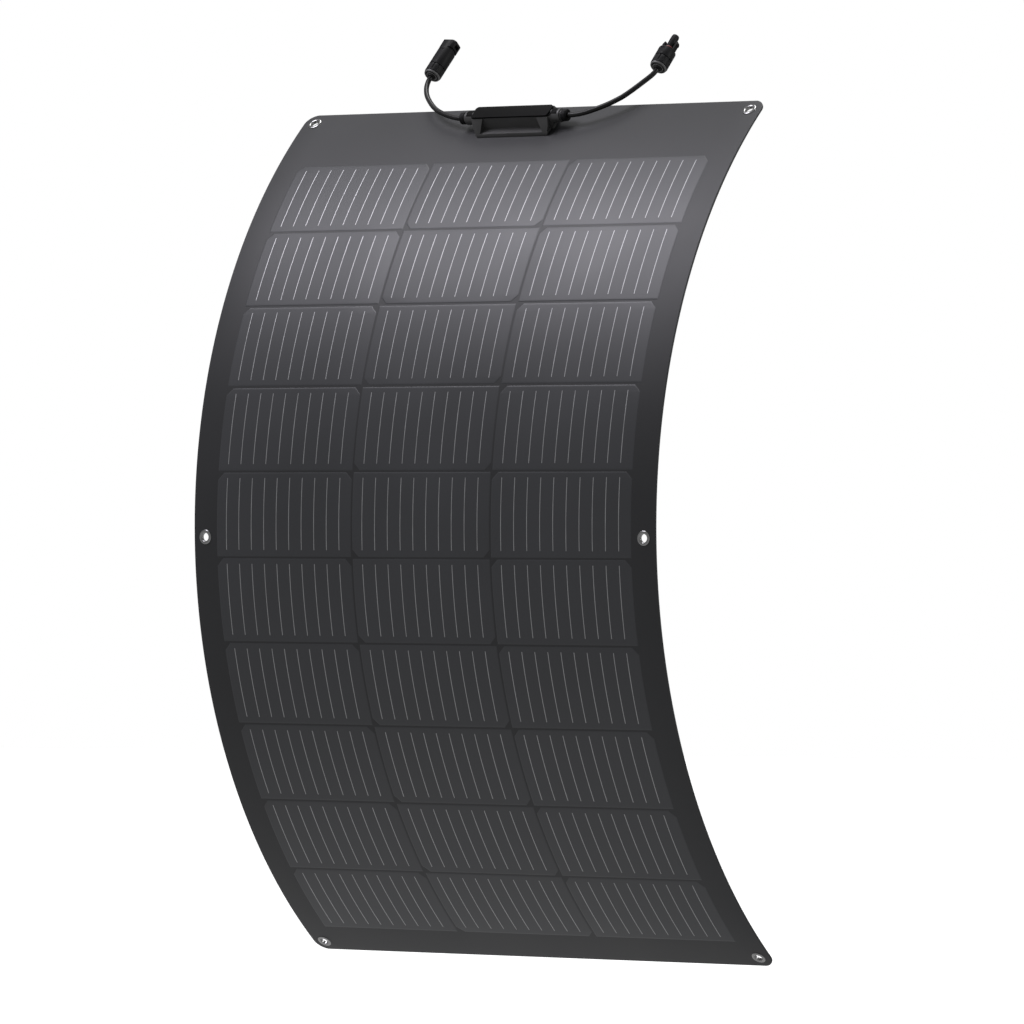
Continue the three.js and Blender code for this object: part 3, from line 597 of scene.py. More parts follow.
LEAD_RADIUS = 2.8
LEAD_ROUTES = {
    "left": [
        (-71.3, 28.7, 14), (-76, 28.2, 14), (-82, 26.9, 14), (-88, 25, 14), (-94, 22.8, 14.05),
        (-100, 20.3, 14.1), (-107.9, 16.6, 14.2), (-114.5, 12.6, 14.3), (-120.3, 8.3, 14.45),
        (-126.1, 3.2, 14.6), (-131.5, -2.1, 14.75), (-136.4, -7.4, 14.9), (-140.7, -13, 15.05),
        (-144.3, -19, 15.2), (-147.2, -25.2, 15.35), (-149, -31, 15.5), (-149.8, -36.4, 15.72),
        (-149.43, -41.65, 15.97),
    ],
    "right": [
        (71.3, 28.7, 14), (76, 28.7, 14), (82, 28.1, 14), (88, 26.8, 14), (94, 24.8, 14.05),
        (100, 22.1, 14.1), (106, 19.1, 14.2), (112, 15.8, 14.3), (118, 12, 14.45), (124, 7.4, 14.6),
        (130, 1.9, 14.75), (135.4, -5, 14.9), (140.3, -12.4, 15.05), (145, -20, 15.2),
        (149, -26.6, 15.35), (152.2, -32.8, 15.5), (153.8, -37.9, 15.76), (154.09, -41.6, 15.97),
    ],
}


def lead_points(side):
    return [
        LEAD_FRAME @ Vector((across, -along, height)) * MM
        for across, along, height in LEAD_ROUTES[side]
    ]


def lead_length(side):
    points = lead_points(side)
    return sum((b - a).length for a, b in zip(points, points[1:]))


def make_lead(side):
    curve = bpy.data.curves.new(f"lead_{side}_visual", "CURVE")
    curve.dimensions = "3D"
    curve.bevel_depth = LEAD_RADIUS * MM
    curve.bevel_resolution = 8
    curve.resolution_u = 6
    curve.use_fill_caps = True
    spline = curve.splines.new("BEZIER")
    points = lead_points(side)
    spline.bezier_points.add(len(points) - 1)
    for knot, point in zip(spline.bezier_points, points):
        knot.co = point
        knot.handle_left_type = knot.handle_right_type = "AUTO"
    curve.materials.append(JACKET)
    obj = bpy.data.objects.new(f"lead_{side}_visual", curve)
    bpy.context.scene.collection.objects.link(obj)
    return shown(obj, "header", "jacket", f"lead_{side}")


LEADS = {side: make_lead(side) for side in LEAD_ROUTES}

# ---------------------------------------------------------------- laminate

# Each stretch of the sheet as (name, start, end, bodies): the stretches under the junction
# box and round the eyelets are stiff, and the others bend between two bodies.
STRETCHES = [("header", 0.0, 58.0, ("header",)), ("bend_01", 58.0, 131.0, ("header", "row_01"))]
for row in range(2, ROWS + 1):
    middle = TOP_MARGIN + (row - 1.5) * ROW_PITCH
    bodies = (f"row_{row - 1:02d}", f"row_{row:02d}")
    if row == 6:
        STRETCHES.append(("eyelets", middle, 537.0, ("row_05",)))
        middle = 537.0
    STRETCHES.append((f"bend_{row:02d}", middle, TOP_MARGIN + (row - 0.5) * ROW_PITCH, bodies))
STRETCHES.append(("end", 968.0, SHEET_LENGTH, ("row_10",)))


def attach(obj, start, end, bodies):
    if len(bodies) == 1:
        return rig.ride(obj, bodies[0])
    ends = [place(0, along, 0) * MM for along in (start, end)]
    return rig.blend(obj, *bodies, start=ends[0], end=ends[1])


def stations(start, end, step, extra=()):
    count = max(1, round((end - start) / step))
    regular = [start + (end - start) * k / count for k in range(count + 1)]
    kept = [a for a in regular if all(abs(a - b) > step * 0.3 for b in extra)]
    return sorted(set(kept + [a for a in extra if start <= a <= end]))


def half_width(along):
    depth = min(along, SHEET_LENGTH - along)
    if depth >= CORNER:
        return SHEET_HALF
    return SHEET_HALF - CORNER + math.sqrt(max(0.0, CORNER ** 2 - (CORNER - depth) ** 2))


def add_sheet_uv(mesh, flat):
    """Gives each vertex its place on the flat sheet, in metres, as a UV."""
    layer = mesh.uv_layers.new(name="sheet")
    for loop in mesh.loops:
        across, along = flat[loop.vertex_index]
        layer.data[loop.index].uv = (across * MM + 0.5, along * MM)


def slab(start, end, low, high, edge_low, edge_high):
    """A stretch of one layer from low to high, its rim rounded by edge_low and edge_high."""
    rim = [a for a in (0, 0.15, 0.5, 1.2, 2.2, 3.6, 5.4, 7.6, 10.2, 12.6, 15) if a <= CORNER]
    extra = rim + [SHEET_LENGTH - a for a in rim]
    loops, flat = [], []
    for along in stations(start, end, SHEET_STEP, extra):
        half = half_width(along)
        end_share = min(1.0, min(along, SHEET_LENGTH - along) / 0.5)
        dip = 1 - math.sqrt(max(0.0, 1 - (1 - end_share) ** 2))
        top, bottom = high - dip * edge_high, low + dip * edge_low
        ring = []
        for inset, lift in ((0.6, 0.0), (0.25, 0.09), (0.07, 0.35), (0.0, 1.0)):
            ring.append((half - inset, bottom + lift * edge_low * (1 - dip)))
        for inset, lift in ((0.0, 1.0), (0.07, 0.35), (0.25, 0.09), (0.6, 0.0)):
            ring.append((half - inset, top - lift * edge_high * (1 - dip)))
        ring += [(half - 30, top), (0, top)]
        ring += [(-a, h) for a, h in reversed(ring[:9])]
        ring.append((0, bottom))
        loops.append([place(across, along, height) for across, height in ring])
        flat += [(across, along) for across, _ in ring]
    mesh = loft(loops)
    add_sheet_uv(mesh, flat)
    return mesh


EYELET_ACROSS = 291.0
EYELET_LEVELS = [("top", 15.0, "header"), ("middle", 527.5, "row_05"), ("bottom", 1040.0, "row_10")]
EYELETS = [
    (f"eyelet_{level}_{side}", sign * EYELET_ACROSS, along, body)
    for level, along, body in EYELET_LEVELS
    for side, sign in (("left", -1), ("right", 1))
]
DRILL_RADIUS = 5.5


def drilled(mesh, start, end):
    drills = [
        ("DIFFERENCE", moved(rod(DRILL_RADIUS, -4, 4, "z"), sheet_frame(across, along)))
        for _, across, along, _ in EYELETS
        if start < along < end
    ]
    return carved(mesh, *drills) if drills else mesh


def strips_in(start, end):
    """The numbers of the CAD strips, the header being 0, whose middles lie in a stretch."""
    edges = [0.0] + [TOP_MARGIN + row * ROW_PITCH for row in range(ROWS)] + [SHEET_LENGTH]
    middles = [(a + b) / 2 for a, b in zip(edges, edges[1:])]
    return [number for number, middle in enumerate(middles) if start <= middle < end]


def make_laminate():
    strips = ["header"] + [f"row_{row:02d}" for row in range(1, ROWS + 1)]
    for stretch, start, end, bodies in STRETCHES:
        for layer, low, high, edge_low, edge_high, material, slot in (
            ("front_film", LAYER_SEAM, FACE, 0.0, 0.55, FILM, "film"),
            ("back_sheet", -FACE, LAYER_SEAM, 0.5, 0.0, BACKING, "backing"),
        ):
            mesh = slab(start, end, low, high, edge_low, edge_high)
            obj = finished(drilled(mesh, start, end), f"{layer}_{stretch}_visual", material)
            attach(obj, start, end, bodies)
            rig.slot(obj, slot)
            stood_for = [f"{layer}_{strips[number]}" for number in strips_in(start, end)]
            if stood_for:
                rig.replaces(obj, *stood_for)


make_laminate()

# ---------------------------------------------------------------- cells

COLUMN_PITCH = 184.0
CELL_HALF = 91.0
CELL_LENGTH = 91.0
CHAMFER = 8.0
CELL_RAISE = 0.22
EDGE = 1.6
BAR_PITCH = 17.0
BAR_OFFSET = -1.4
BAR_HALF = 0.5
BAR_START = 7.0
BAR_END = 84.8
RISE = [(0.0, -0.05), (0.25, 0.25), (0.55, 0.55), (0.95, 0.85), (EDGE, 1.0)]


def rise(distance):
    """How far the film is lifted, from 0 to 1, at a distance inside a cell's edge."""
    for (d0, r0), (d1, r1) in zip(RISE, RISE[1:]):
        if distance < d1:
            return r0 + (r1 - r0) * max(0.0, distance - d0) / (d1 - d0)
    return 1.0


def cell_inset(into, clipped_top):
    """How far a cell's sides stand in, at a distance below its top edge."""
    near = into if clipped_top else CELL_LENGTH - into
    return max(0.0, CHAMFER - near)


def raised_patch(start, end, half, inset_at, marks, lift):
    """Rows of (across offset, along, height) for a patch with soft edges, at marks too."""
    rows = []
    for along in stations(start, end, PATCH_STEP, [a for a in marks if start <= a <= end]):
        side = half - inset_at(along)
        row = []
        for distance, _ in RISE:
            row.append((-side + distance, along))
        row += [(-side * 0.5, along), (0, along), (side * 0.5, along)]
        for distance, _ in reversed(RISE):
            row.append((side - distance, along))
        rows.append([(across, a, lift(side - abs(across), a)) for across, a in row])
    return rows


def patch_mesh(patches):
    """One mesh from several patches of rows, with its places on the sheet as UVs."""
    points, flat, faces = [], [], []
    for rows in patches:
        base, size = len(points), len(rows[0])
        for row in rows:
            for across, along, height in row:
                points.append(place(across, along, height))
                flat.append((across, along))
        for r in range(len(rows) - 1):
            for k in range(size - 1):
                a = base + r * size + k
                faces.append((a, a + size, a + size + 1, a + 1))
    mesh = bpy.data.meshes.new("patches")
    mesh.from_pydata([tuple(p) for p in points], [], faces)
    add_sheet_uv(mesh, flat)
    return mesh


def overlap(start, end, low, high):
    first, last = max(start, low), min(end, high)
    return (first, last) if last - first > 1e-6 else None


def cell_patches(start, end):
    """The cells, or parts of cells, that lie between two places along the sheet."""
    patches, rows_met = [], set()
    for row in range(1, ROWS + 1):
        top = TOP_MARGIN + (row - 1) * ROW_PITCH + (ROW_PITCH - CELL_LENGTH) / 2
        bottom = top + CELL_LENGTH
        span = overlap(start, end, top, bottom)
        if span is None:
            continue
        rows_met.add(row)
        marks = [top + d for d, _ in RISE] + [bottom - d for d, _ in RISE]
        marks += [top + 4, top + CHAMFER, bottom - CHAMFER, bottom - 4]
        for column in (-1, 0, 1):
            centre = column * COLUMN_PITCH
            clipped_top = column != 0

            def inset(along):
                return cell_inset(along - top, clipped_top)

            def lift(distance, along):
                return FACE + CELL_RAISE * rise(min(distance, along - top, bottom - along))

            rows = raised_patch(*span, CELL_HALF, inset, marks, lift)
            patches.append([[(centre + a, s, h) for a, s, h in r] for r in rows])
    return patches, rows_met


def bar_patches(start, end):
    """The silver lines on the cells: ten on each, seen through the film."""
    patches = []
    for row in range(1, ROWS + 1):
        top = TOP_MARGIN + (row - 1) * ROW_PITCH
        span = overlap(start, end, top + BAR_START, top + BAR_END)
        if span is None:
            continue
        for column in (-1, 0, 1):
            for bar in range(10):
                centre = column * COLUMN_PITCH + BAR_OFFSET + (bar - 4.5) * BAR_PITCH
                section = [(-BAR_HALF, -0.03), (-0.3, 0.07), (0.3, 0.07), (BAR_HALF, -0.03)]
                patches.append([
                    [(centre + a, along, FACE + CELL_RAISE + h) for a, h in section]
                    for along in stations(*span, PATCH_STEP)
                ])
    return patches


def make_cells():
    stood_for = set()
    for stretch, start, end, bodies in STRETCHES:
        patches, rows_met = cell_patches(start, end)
        if not patches:
            continue
        cells = finished(patch_mesh(patches), f"cells_{stretch}_visual", CELL)
        attach(cells, start, end, bodies)
        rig.slot(cells, "silicon")
        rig.replaces(cells, *[f"cell_row_{row:02d}" for row in rows_met - stood_for])
        stood_for |= rows_met
        bars = finished(patch_mesh(bar_patches(start, end)), f"busbars_{stretch}_visual", BUSBAR)
        attach(bars, start, end, bodies)
        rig.slot(bars, "tinned")


make_cells()

# ---------------------------------------------------------------- eyelets


def arc(centre, radii, start, end, count):
    """Points on an ellipse from one angle to another, in degrees."""
    result = []
    for k in range(count):
        angle = math.radians(start + (end - start) * k / (count - 1))
        result.append((centre[0] + radii[0] * math.cos(angle), centre[1] + radii[1] * math.sin(angle)))
    return result


def make_eyelets():
    """A washer and a rolled barrel: domed on the front, curled over at the back."""
    front, back = FACE, -FACE
    profile = (
        [(5.2, back), (7.4, back), (7.4, back - 0.25)]
        + arc((5.95, back - 0.25), (1.45, 0.65), 0, -180, 12)
        + [(4.5, back + 0.6), (4.5, front - 0.2)]
        + arc((6.25, front + 0.1), (1.75, 0.9), 180, 0, 14)
        + [(8.0, front), (7.2, front - 0.05), (5.2, front - 0.05)]
    )
    for name, across, along, body in EYELETS:
        mesh = turned(profile, 72)
        mesh.transform(Matrix.Rotation(math.radians(90), 4, "X"))
        shown(finished(mesh, f"{name}_visual", STEEL, sheet_frame(across, along)), body, "steel", name)


make_eyelets()

# ---------------------------------------------------------------- junction box

BOX_HEIGHT = 21.2
BOX_HALF = 50.5
WALL_TOP = 18.9
GLAND_HEIGHT = 12.75
COLLAR_RADIUS = 7.5
COLLAR_TOP = GLAND_HEIGHT + COLLAR_RADIUS


def section_power(roundness):
    return 0.16 + 0.84 * roundness


def superellipse(x, y_range, z_range, roundness, count=48):
    """A section at x: a rectangle with small corners at roundness 0, an ellipse at 1."""
    power = section_power(roundness)
    loop = []
    for k in range(count):
        angle = (k + 0.5) / count * 2 * math.pi
        cosine, sine = math.cos(angle), math.sin(angle)
        y = math.copysign(abs(cosine) ** power, cosine)
        z = math.copysign(abs(sine) ** power, sine)
        loop.append((
            x,
            y_range[0] + (y_range[1] - y_range[0]) * (1 + y) / 2,
            z_range[0] + (z_range[1] - z_range[0]) * (1 + z) / 2,
        ))
    return loop


TAB_END = 60.5

# Each section of the shoulder as (x, share of the way from box to collar).
SHOULDER = [(49.5, 0), (50.6, 0.02), (51.3, 0.1), (51.9, 0.3), (52.5, 0.62), (53.2, 0.9), (54.2, 1)]


def shoulder_ranges(share):
    """The shoulder's y and z ranges where share of its way from box to collar is done."""
    y_range = (-8 + 0.5 * share, 8.7 - 1.2 * share)
    z_range = (4 + 1.25 * share, WALL_TOP + (COLLAR_TOP - WALL_TOP) * share)
    return y_range, z_range


def shoulder(side):
    """The end of the box, drawn down to the round collar of its gland."""
    return loft([superellipse(side * x, *shoulder_ranges(share), share) for x, share in SHOULDER])


def lid_tab(side):
    """The lid's tab, which runs out over the shoulder and along the top of the collar."""
    loops = []
    for x, share in SHOULDER + [(57, 1), (TAB_END - 0.5, 1), (TAB_END, 1)]:
        (y0, y1), (z0, z1) = shoulder_ranges(share)
        power = section_power(share)
        reach = 52 - 18 * share
        outer, inner = [], []
        for k in range(33):
            angle = math.radians(90 - reach + reach * k / 16)
            y, z = math.cos(angle), math.sin(angle) ** power
            y = math.copysign(abs(y) ** power, y)
            for grow, arc_points in ((0.35 if x < TAB_END else 0.1, outer), (-0.4, inner)):
                arc_points.append((
                    side * x,
                    (y0 + y1) / 2 + ((y1 - y0) / 2 + grow) * y,
                    (z0 + z1) / 2 + ((z1 - z0) / 2 + grow) * z,
                ))
        loops.append(outer + inner[::-1])
    return loft(loops)


def make_box():
    shell = prism([
        (-19.2, 0.2), (16.7, 0.2), (16.7, 3), (9.3, WALL_TOP), (-8, WALL_TOP),
        (-8, 4.5), (-17.8, 4.5), (-19.2, 1),
    ], -BOX_HALF, BOX_HALF, "x")
    steps = []
    for side in (-1, 1):
        front = [
            (35.8, WALL_TOP), (41.5, 4.5), (41.5, 3), (46.5, 3),
            (48.5, 6), (49.9, 10), (50.5, 14), (50.5, WALL_TOP),
        ]
        cheek = prism([(side * x, z) for x, z in front], -19.2, 0, "y")
        slope = prism([
            (-7, 3), (-17.8, 4), (-17.8, 4.5), (-9.3, WALL_TOP), (-7, WALL_TOP),
        ], -BOX_HALF, BOX_HALF, "x")
        steps.append(("UNION", carved(cheek, ("INTERSECT", slope))))
    for side in (-1, 1):
        corner = [(side * x, z) for x, z in ((51.5, -1), (51.5, 8), (50.5, 8), (45.9, -1))]
        steps.append(("DIFFERENCE", prism(corner, -20.2, -8, "y")))
    body = carved(shell, *steps)
    cavity = block((-46, 46), (-6.6, 6.6), (1.8, 22))
    body = carved(body, ("DIFFERENCE", cavity))
    base = finished(body, "junction_box_base_visual", BOX, BOX_FRAME, bevel=0.55)
    shown(base, "header", "box", "junction_box_base")
    for side, name in ((-1, "left"), (1, "right")):
        way = rod(3.1, 45, 66, "x")
        way = moved(way, Matrix.Translation((0, 0, GLAND_HEIGHT)))
        if side < 0:
            way.transform(Matrix.Scale(-1, 4, (1, 0, 0)))
            outward(way)
        mesh = carved(shoulder(side), ("DIFFERENCE", way))
        shown(finished(mesh, f"junction_box_shoulder_{name}", BOX, BOX_FRAME), "header", "box")
        shown(finished(lid_tab(side), f"junction_box_tab_{name}", LID, BOX_FRAME), "header", "box")
        collar_profile = (
            [(3.1, 52), (COLLAR_RADIUS, 52)]
            + arc((7.0, 62.5), (0.5, 0.5), 0, 90, 5)
            + [(6.1, 63.0), (6.0, 63.1), (6.0, 64.5), (3.1, 64.5)]
        )
        collar = turned(collar_profile, 64)
        collar.transform(Matrix.Rotation(math.radians(-side * 90), 4, "Z"))
        collar.transform(Matrix.Translation((0, 0, GLAND_HEIGHT)))
        shown(finished(collar, f"gland_collar_{name}", BOX, BOX_FRAME), "header", "box")
        make_gland_nut(side, name)


def make_gland_nut(side, name):
    """A round nut with shallow grips and a domed end round the lead."""
    def gripped(radius, y, angle):
        if radius > 6.4 and 65.3 < y < 69.6:
            return radius - 0.22 * (0.5 + 0.5 * math.cos(24 * angle)) ** 4
        return radius

    profile = (
        [(2.9, 64.8), (6.4, 64.8), (6.7, 65.1), (6.7, 65.5), (6.7, 67.4), (6.7, 69.2), (6.7, 69.7)]
        + arc((5.2, 69.7), (1.5, 1.3), 10, 90, 7)
        + [(3.3, 71.0), (2.9, 70.7)]
    )
    nut = turned(profile, 192, gripped)
    nut.transform(Matrix.Rotation(math.radians(-side * 90), 4, "Z"))
    nut.transform(Matrix.Translation((0, 0, GLAND_HEIGHT)))
    obj = finished(nut, f"gland_nut_{name}_visual", CONNECTOR, BOX_FRAME)
    shown(obj, "header", "box", f"gland_nut_{name}")


def make_lid():
    outline = rounded([
        (-50.2, -9.3), (50.2, -9.3), (51.4, 0), (51.6, 6.2), (49.1, 8.7),
        (-49.1, 8.7), (-51.6, 6.2), (-51.4, 0),
    ], 1.6)
    plate = prism(outline, BOX_HEIGHT - 2, BOX_HEIGHT, "z")
    spigot = block((-45.7, 45.7), (-6.3, 6.3), (BOX_HEIGHT - 4.5, BOX_HEIGHT - 1))
    hollow = block((-43.7, 43.7), (-4.3, 4.3), (BOX_HEIGHT - 6, BOX_HEIGHT - 2.5))
    mesh = carved(plate, ("UNION", spigot), ("DIFFERENCE", hollow))
    lid = finished(mesh, "junction_box_lid_visual", LID, BOX_FRAME, bevel=0.4)
    shown(lid, "header", "box", "junction_box_lid")


make_box()
make_lid()

# ---------------------------------------------------------------- connectors

CONNECTOR_FEET = {"left": (-149.4, 42, 16), "right": (154.1, 42, 16)}
CONNECTOR_YAWS = {"left": math.radians(-4), "right": math.radians(-2)}
CONNECTOR_LIFT = math.radians(4.3)
BARREL = 10.0
SHELL_LENGTH = 50.0
PROBE_LENGTH = 48.3


def connector_frame(side):
    foot = Matrix.Translation(CONNECTOR_FEET[side])
    lift = Matrix.Rotation(CONNECTOR_LIFT, 4, "X")
    return LEAD_FRAME @ foot @ lift @ Matrix.Rotation(CONNECTOR_YAWS[side], 4, "Z")


PIN_FRAME, PROBE_FRAME = connector_frame("left"), connector_frame("right")


def make_cap_nut(name, placing, body):
    """A cap nut with ten grips; the two rims at its mouth and the rubber sleeve round the lead are made apart."""
    nut_floor = 3.4

    def fluted(radius, y, angle):
        if radius > 9.4 and nut_floor < y < 13.1:
            depth = 0.75 * min(1.0, y - nut_floor)
            return radius - depth * max(0.0, math.cos(10 * angle)) ** 3
        return radius

    profile = (
        [(3.0, 2.0), (8.4, 2.0), (9.4, 2.2), (BARREL - 0.15, 2.9)]
        + [(BARREL, 3.5), (BARREL, 4.2), (BARREL, 5.0), (BARREL, 9), (BARREL, 12.4)]
        + [(9.8, 12.8), (9.5, 13.0), (7.3, 13.0), (7.3, nut_floor), (3.0, nut_floor)]
    )
    nut = finished(turned(profile, 160, fluted), f"{name}_visual", CONNECTOR, placing)
    return shown(nut, body, "connector", name)


def make_rims(name, placing, body):
    """The two rims at a cap nut's mouth, with a dark groove between them, in a pale grey that is a painted highlight
    on the black plastic.
    """
    inner = [(4.9, 2.1), (4.9, 0.4), (5.1, 0.1), (6.1, 0.1), (6.3, 0.4), (6.3, 2.1)]
    outer = [(7.7, 2.1), (7.7, 0.9), (7.95, 0.6), (8.9, 0.75), (9.3, 1.3), (9.5, 2.4), (8.4, 2.4)]
    for place_in, profile in (("inner", inner), ("outer", outer)):
        ring = finished(turned(profile, 96), f"{name}_{place_in}_rim", RIM_HIGHLIGHT, placing)
        yield shown(ring, body, "connector")


def make_sleeve(name, placing):
    """The end of the rubber seal that stands out of a cap nut, round the lead."""
    profile = [(2.9, -0.9), (3.6, -1.5), (4.2, -1.4), (4.5, -0.9), (4.8, 1.8), (2.9, 1.8)]
    return shown(finished(turned(profile, 64), name, RUBBER, placing), "header", "connector")


def barrel(profile):
    return turned([(2.6, 3.7), (7.0, 3.7), (7.0, 13.3)] + profile, 96)


def make_pin_connector():
    neck = 38.0
    tube = barrel(
        [(9.7, 13.3), (BARREL, 13.6), (BARREL, neck - 1.2), (9.8, neck - 0.4), (9.3, neck)]
        + [(8.8, neck + 0.2), (8.8, SHELL_LENGTH - 1), (5.2, SHELL_LENGTH - 1), (5.2, 22), (2.6, 22)]
    )
    mouth = prism(rounded([
        (-9.6, -4.8), (-6.6, -7.8), (6.6, -7.8), (9.6, -4.8),
        (9.6, 4.8), (6.6, 7.8), (-6.6, 7.8), (-9.6, 4.8),
    ], 1.2), neck + 2, SHELL_LENGTH, "y")
    steps = [("UNION", mouth), ("DIFFERENCE", rod(5.2, 23, SHELL_LENGTH + 1))]
    for side in (-1, 1):
        x = sorted((side * 6.4, side * 11))
        steps.append(("DIFFERENCE", block(x, (neck + 4.5, neck + 9), (-3, 3))))
        z = sorted((side * (BARREL - 0.6), side * (BARREL + 0.6)))
        steps.append(("DIFFERENCE", block((-4, 4), (17, 35), z)))
    mesh = carved(tube, *steps)
    shell = finished(mesh, "pin_connector_shell_visual", CONNECTOR, PIN_FRAME, bevel=0.3, segments=2)
    return shown(shell, "header", "connector", "pin_connector_shell")


def make_probe_body():
    tip = PROBE_LENGTH
    tube = barrel(
        [(9.7, 13.3), (BARREL, 13.6), (BARREL, 24.9), (9.7, 25.7), (9.2, 26.0), (5.4, 26.0)]
        + [(5.4, 27.4), (5.2, 27.6), (4.35, 27.7), (4.35, 28.5), (3.45, 28.5), (3.45, 30.7)]
        + [(4.35, 30.7), (4.35, tip - 4), (4.1, tip - 1.2), (3.8, tip - 0.1), (3.5, tip), (2.6, tip)]
    )
    steps = []
    for side in (-1, 1):
        x = sorted((side * 6.1, side * 11.3))
        steps.append(("DIFFERENCE", block(x, (23.4, 27), (-3, 3))))
        z = sorted((side * (BARREL - 0.6), side * (BARREL + 0.6)))
        steps.append(("DIFFERENCE", block((-3.4, 3.4), (16, 23), z)))
    mesh = carved(tube, *steps)
    body = finished(mesh, "probe_connector_body_visual", CONNECTOR, PROBE_FRAME, bevel=0.25, segments=2)
    return shown(body, "header", "connector", "probe_connector_body")


def make_seal():
    ring = turned(arc((4.55, 29.6), (0.75, 0.75), 0, 345, 24), 72)
    seal = finished(ring, "probe_connector_seal_visual", SEAL, PROBE_FRAME)
    return shown(seal, "header", "seal", "probe_connector_seal")


def make_latch_finger(side, name):
    outline = [
        (6.6, 23.8), (8.9, 23.8), (8.9, 32.9), (9.8, 33.5),
        (9.8, 34.9), (8.3, 38.6), (6.9, 38.6), (6.6, 36.6),
    ]
    mesh = prism([(side * x, y) for x, y in outline], -2.6, 2.6, "z")
    finger = finished(mesh, f"latch_finger_{name}_visual", CONNECTOR, PROBE_FRAME, bevel=0.35)
    return shown(finger, f"latch_{name}", "connector", f"latch_finger_{name}")


CONNECTOR_PIECES = {
    "left": [
        make_cap_nut("pin_connector_cap_nut", PIN_FRAME, "pin_cap_nut"),
        *make_rims("pin_cap_nut", PIN_FRAME, "pin_cap_nut"),
        make_sleeve("pin_cable_seal", PIN_FRAME),
        make_pin_connector(),
        frame["nodes"]["pin_connector_contact"],
    ],
    "right": [
        make_cap_nut("probe_connector_cap_nut", PROBE_FRAME, "probe_cap_nut"),
        *make_rims("probe_cap_nut", PROBE_FRAME, "probe_cap_nut"),
        make_sleeve("probe_cable_seal", PROBE_FRAME),
        make_probe_body(),
        make_seal(),
        make_latch_finger(-1, "left"),
        make_latch_finger(1, "right"),
        frame["nodes"]["probe_connector_contact"],
    ],
}

for side, pieces in CONNECTOR_PIECES.items():
    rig.cord(
        LEADS[side],
        exit=lead_points(side)[0],
        length=lead_length(side),
        diameter=2 * LEAD_RADIUS * MM,
        far_end="connector",
        stiffness="stiff",
        lay="loose",
        with_pieces=pieces,
    )

# ---------------------------------------------------------------- what the CAD model shows itself

CARRIED_OVER = {
    "ribbon_negative": TINNED,
    "ribbon_top_link": TINNED,
    "ribbon_bottom_link": TINNED,
    "junction_box_potting": POTTING,
    "bypass_diode": BOX,
    "terminal_negative": TINNED,
    "terminal_positive": TINNED,
    "pin_connector_contact": TINNED,
    "probe_connector_contact": TINNED,
}
for name, material in CARRIED_OVER.items():
    node = frame["nodes"][name]
    for slot in node.material_slots:
        slot.material = material

# ---------------------------------------------------------------- studio

FLOOR_DROP = 0.080  # clear of the lower edge when the sheet is flat

# The floor glows a little, most under the sheet's lower edge and less further out.
GLOW_CENTRE = (-0.1, 0.2)
GLOW_REACH = (0.1, 0.75)
NEAR_GLOW = 0.61
FAR_GLOW = 0.28


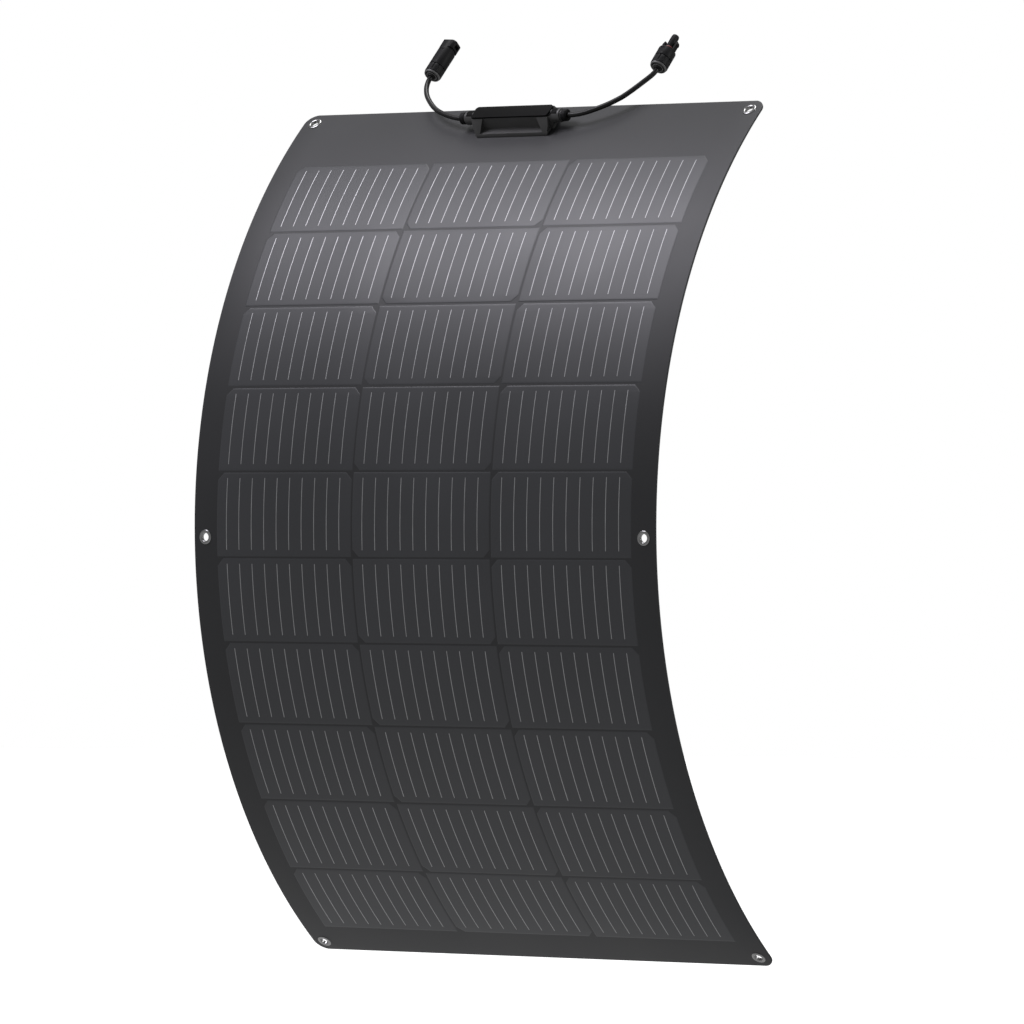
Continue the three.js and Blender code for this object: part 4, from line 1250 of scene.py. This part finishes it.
def make_floor():
    """A pale disc, nearly white to the camera and darker to the light that bounces off it."""
    low = CAD_BOX[0].z - FLOOR_DROP
    mesh = bpy.data.meshes.new("floor")
    rings, sides, points = [0.6, 1.5, 3.0, 6.0, 12.0, 24.0], 48, []
    for radius in rings:
        for k in range(sides):
            angle = k / sides * 2 * math.pi
            points.append((radius * math.cos(angle), radius * math.sin(angle), low))
    faces = [tuple(range(sides))]
    for ring in range(len(rings) - 1):
        for k in range(sides):
            a, b = ring * sides + k, ring * sides + (k + 1) % sides
            faces.append((a, b, b + sides, a + sides))
    mesh.from_pydata(points, [], faces)
    floor = bpy.data.objects.new("floor", mesh)
    made = Surface("floor", specular=0.1)
    clouds = made.noise(made.solid_place(), 2.0, 2.0)
    seen = made.mix(made.spread(clouds, 0, 1), grey(0.88), grey(0.9))
    made.colour(made.mix(made.node("LightPath").outputs["Is Camera Ray"], grey(0.15), seen))
    made.shader.inputs["Roughness"].default_value = 0.9
    made.shader.inputs["Emission Color"].default_value = grey(1.0)
    away = made.node("VectorMath", {"operation": "DISTANCE"})
    made.links.new(made.solid_place(), away.inputs[0])
    away.inputs[1].default_value = (*GLOW_CENTRE, low)
    glow = made.spread(away.outputs["Value"], NEAR_GLOW, FAR_GLOW, *GLOW_REACH)
    made.links.new(glow, made.shader.inputs["Emission Strength"])
    mesh.materials.append(made.material)
    bpy.context.scene.collection.objects.link(floor)
    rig.stage(floor)


def area_light(name, place_from, aim, size, power, colour=(1, 1, 1)):
    data = bpy.data.lights.new(name, "AREA")
    data.color = colour
    data.shape = "RECTANGLE"
    data.size, data.size_y = size
    data.energy = power
    light = bpy.data.objects.new(name, data)
    light.location = place_from
    light.rotation_mode = "QUATERNION"
    light.rotation_quaternion = (Vector(aim) - Vector(place_from)).to_track_quat("-Z", "Y")
    bpy.context.scene.collection.objects.link(light)


def make_lights():
    area_light("softbox", (-0.95, -0.95, 2.1), (0.45, 0.1, 0.4), (1.1, 1.1), 39, (1.025, 1.0, 1.09))
    area_light("right_panel", (2.2, 0.9, 1.3), (0.1, 0.2, 0.45), (0.6, 1.2), 22)
    sun = bpy.data.lights.new("ceiling", "SUN")
    sun.energy = 2.0
    sun.angle = math.radians(30)
    lamp = bpy.data.objects.new("ceiling", sun)
    lamp.rotation_euler = (math.radians(-12), math.radians(-8), 0)
    bpy.context.scene.collection.objects.link(lamp)


def make_world():
    """White where it is seen, and a dim even light on the object."""
    world = bpy.data.worlds.new("studio")
    bpy.context.scene.world = world
    world.use_nodes = True
    nodes, links = world.node_tree.nodes, world.node_tree.links
    output, seen = nodes["World Output"], nodes["Background"]
    seen.inputs["Color"].default_value = (1, 1, 1, 1)
    dim = nodes.new("ShaderNodeBackground")
    dim.inputs["Color"].default_value = (1, 1, 1, 1)
    dim.inputs["Strength"].default_value = 0.35
    path = nodes.new("ShaderNodeLightPath")
    choice = nodes.new("ShaderNodeMixShader")
    links.new(path.outputs["Is Camera Ray"], choice.inputs[0])
    links.new(dim.outputs[0], choice.inputs[1])
    links.new(seen.outputs[0], choice.inputs[2])
    links.new(choice.outputs[0], output.inputs["Surface"])


make_floor()
make_lights()
make_world()

with open("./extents.json", "w") as out:
    json.dump({"cad": [list(p) for p in CAD_BOX], "visual": [list(p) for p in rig.bounds()]}, out)
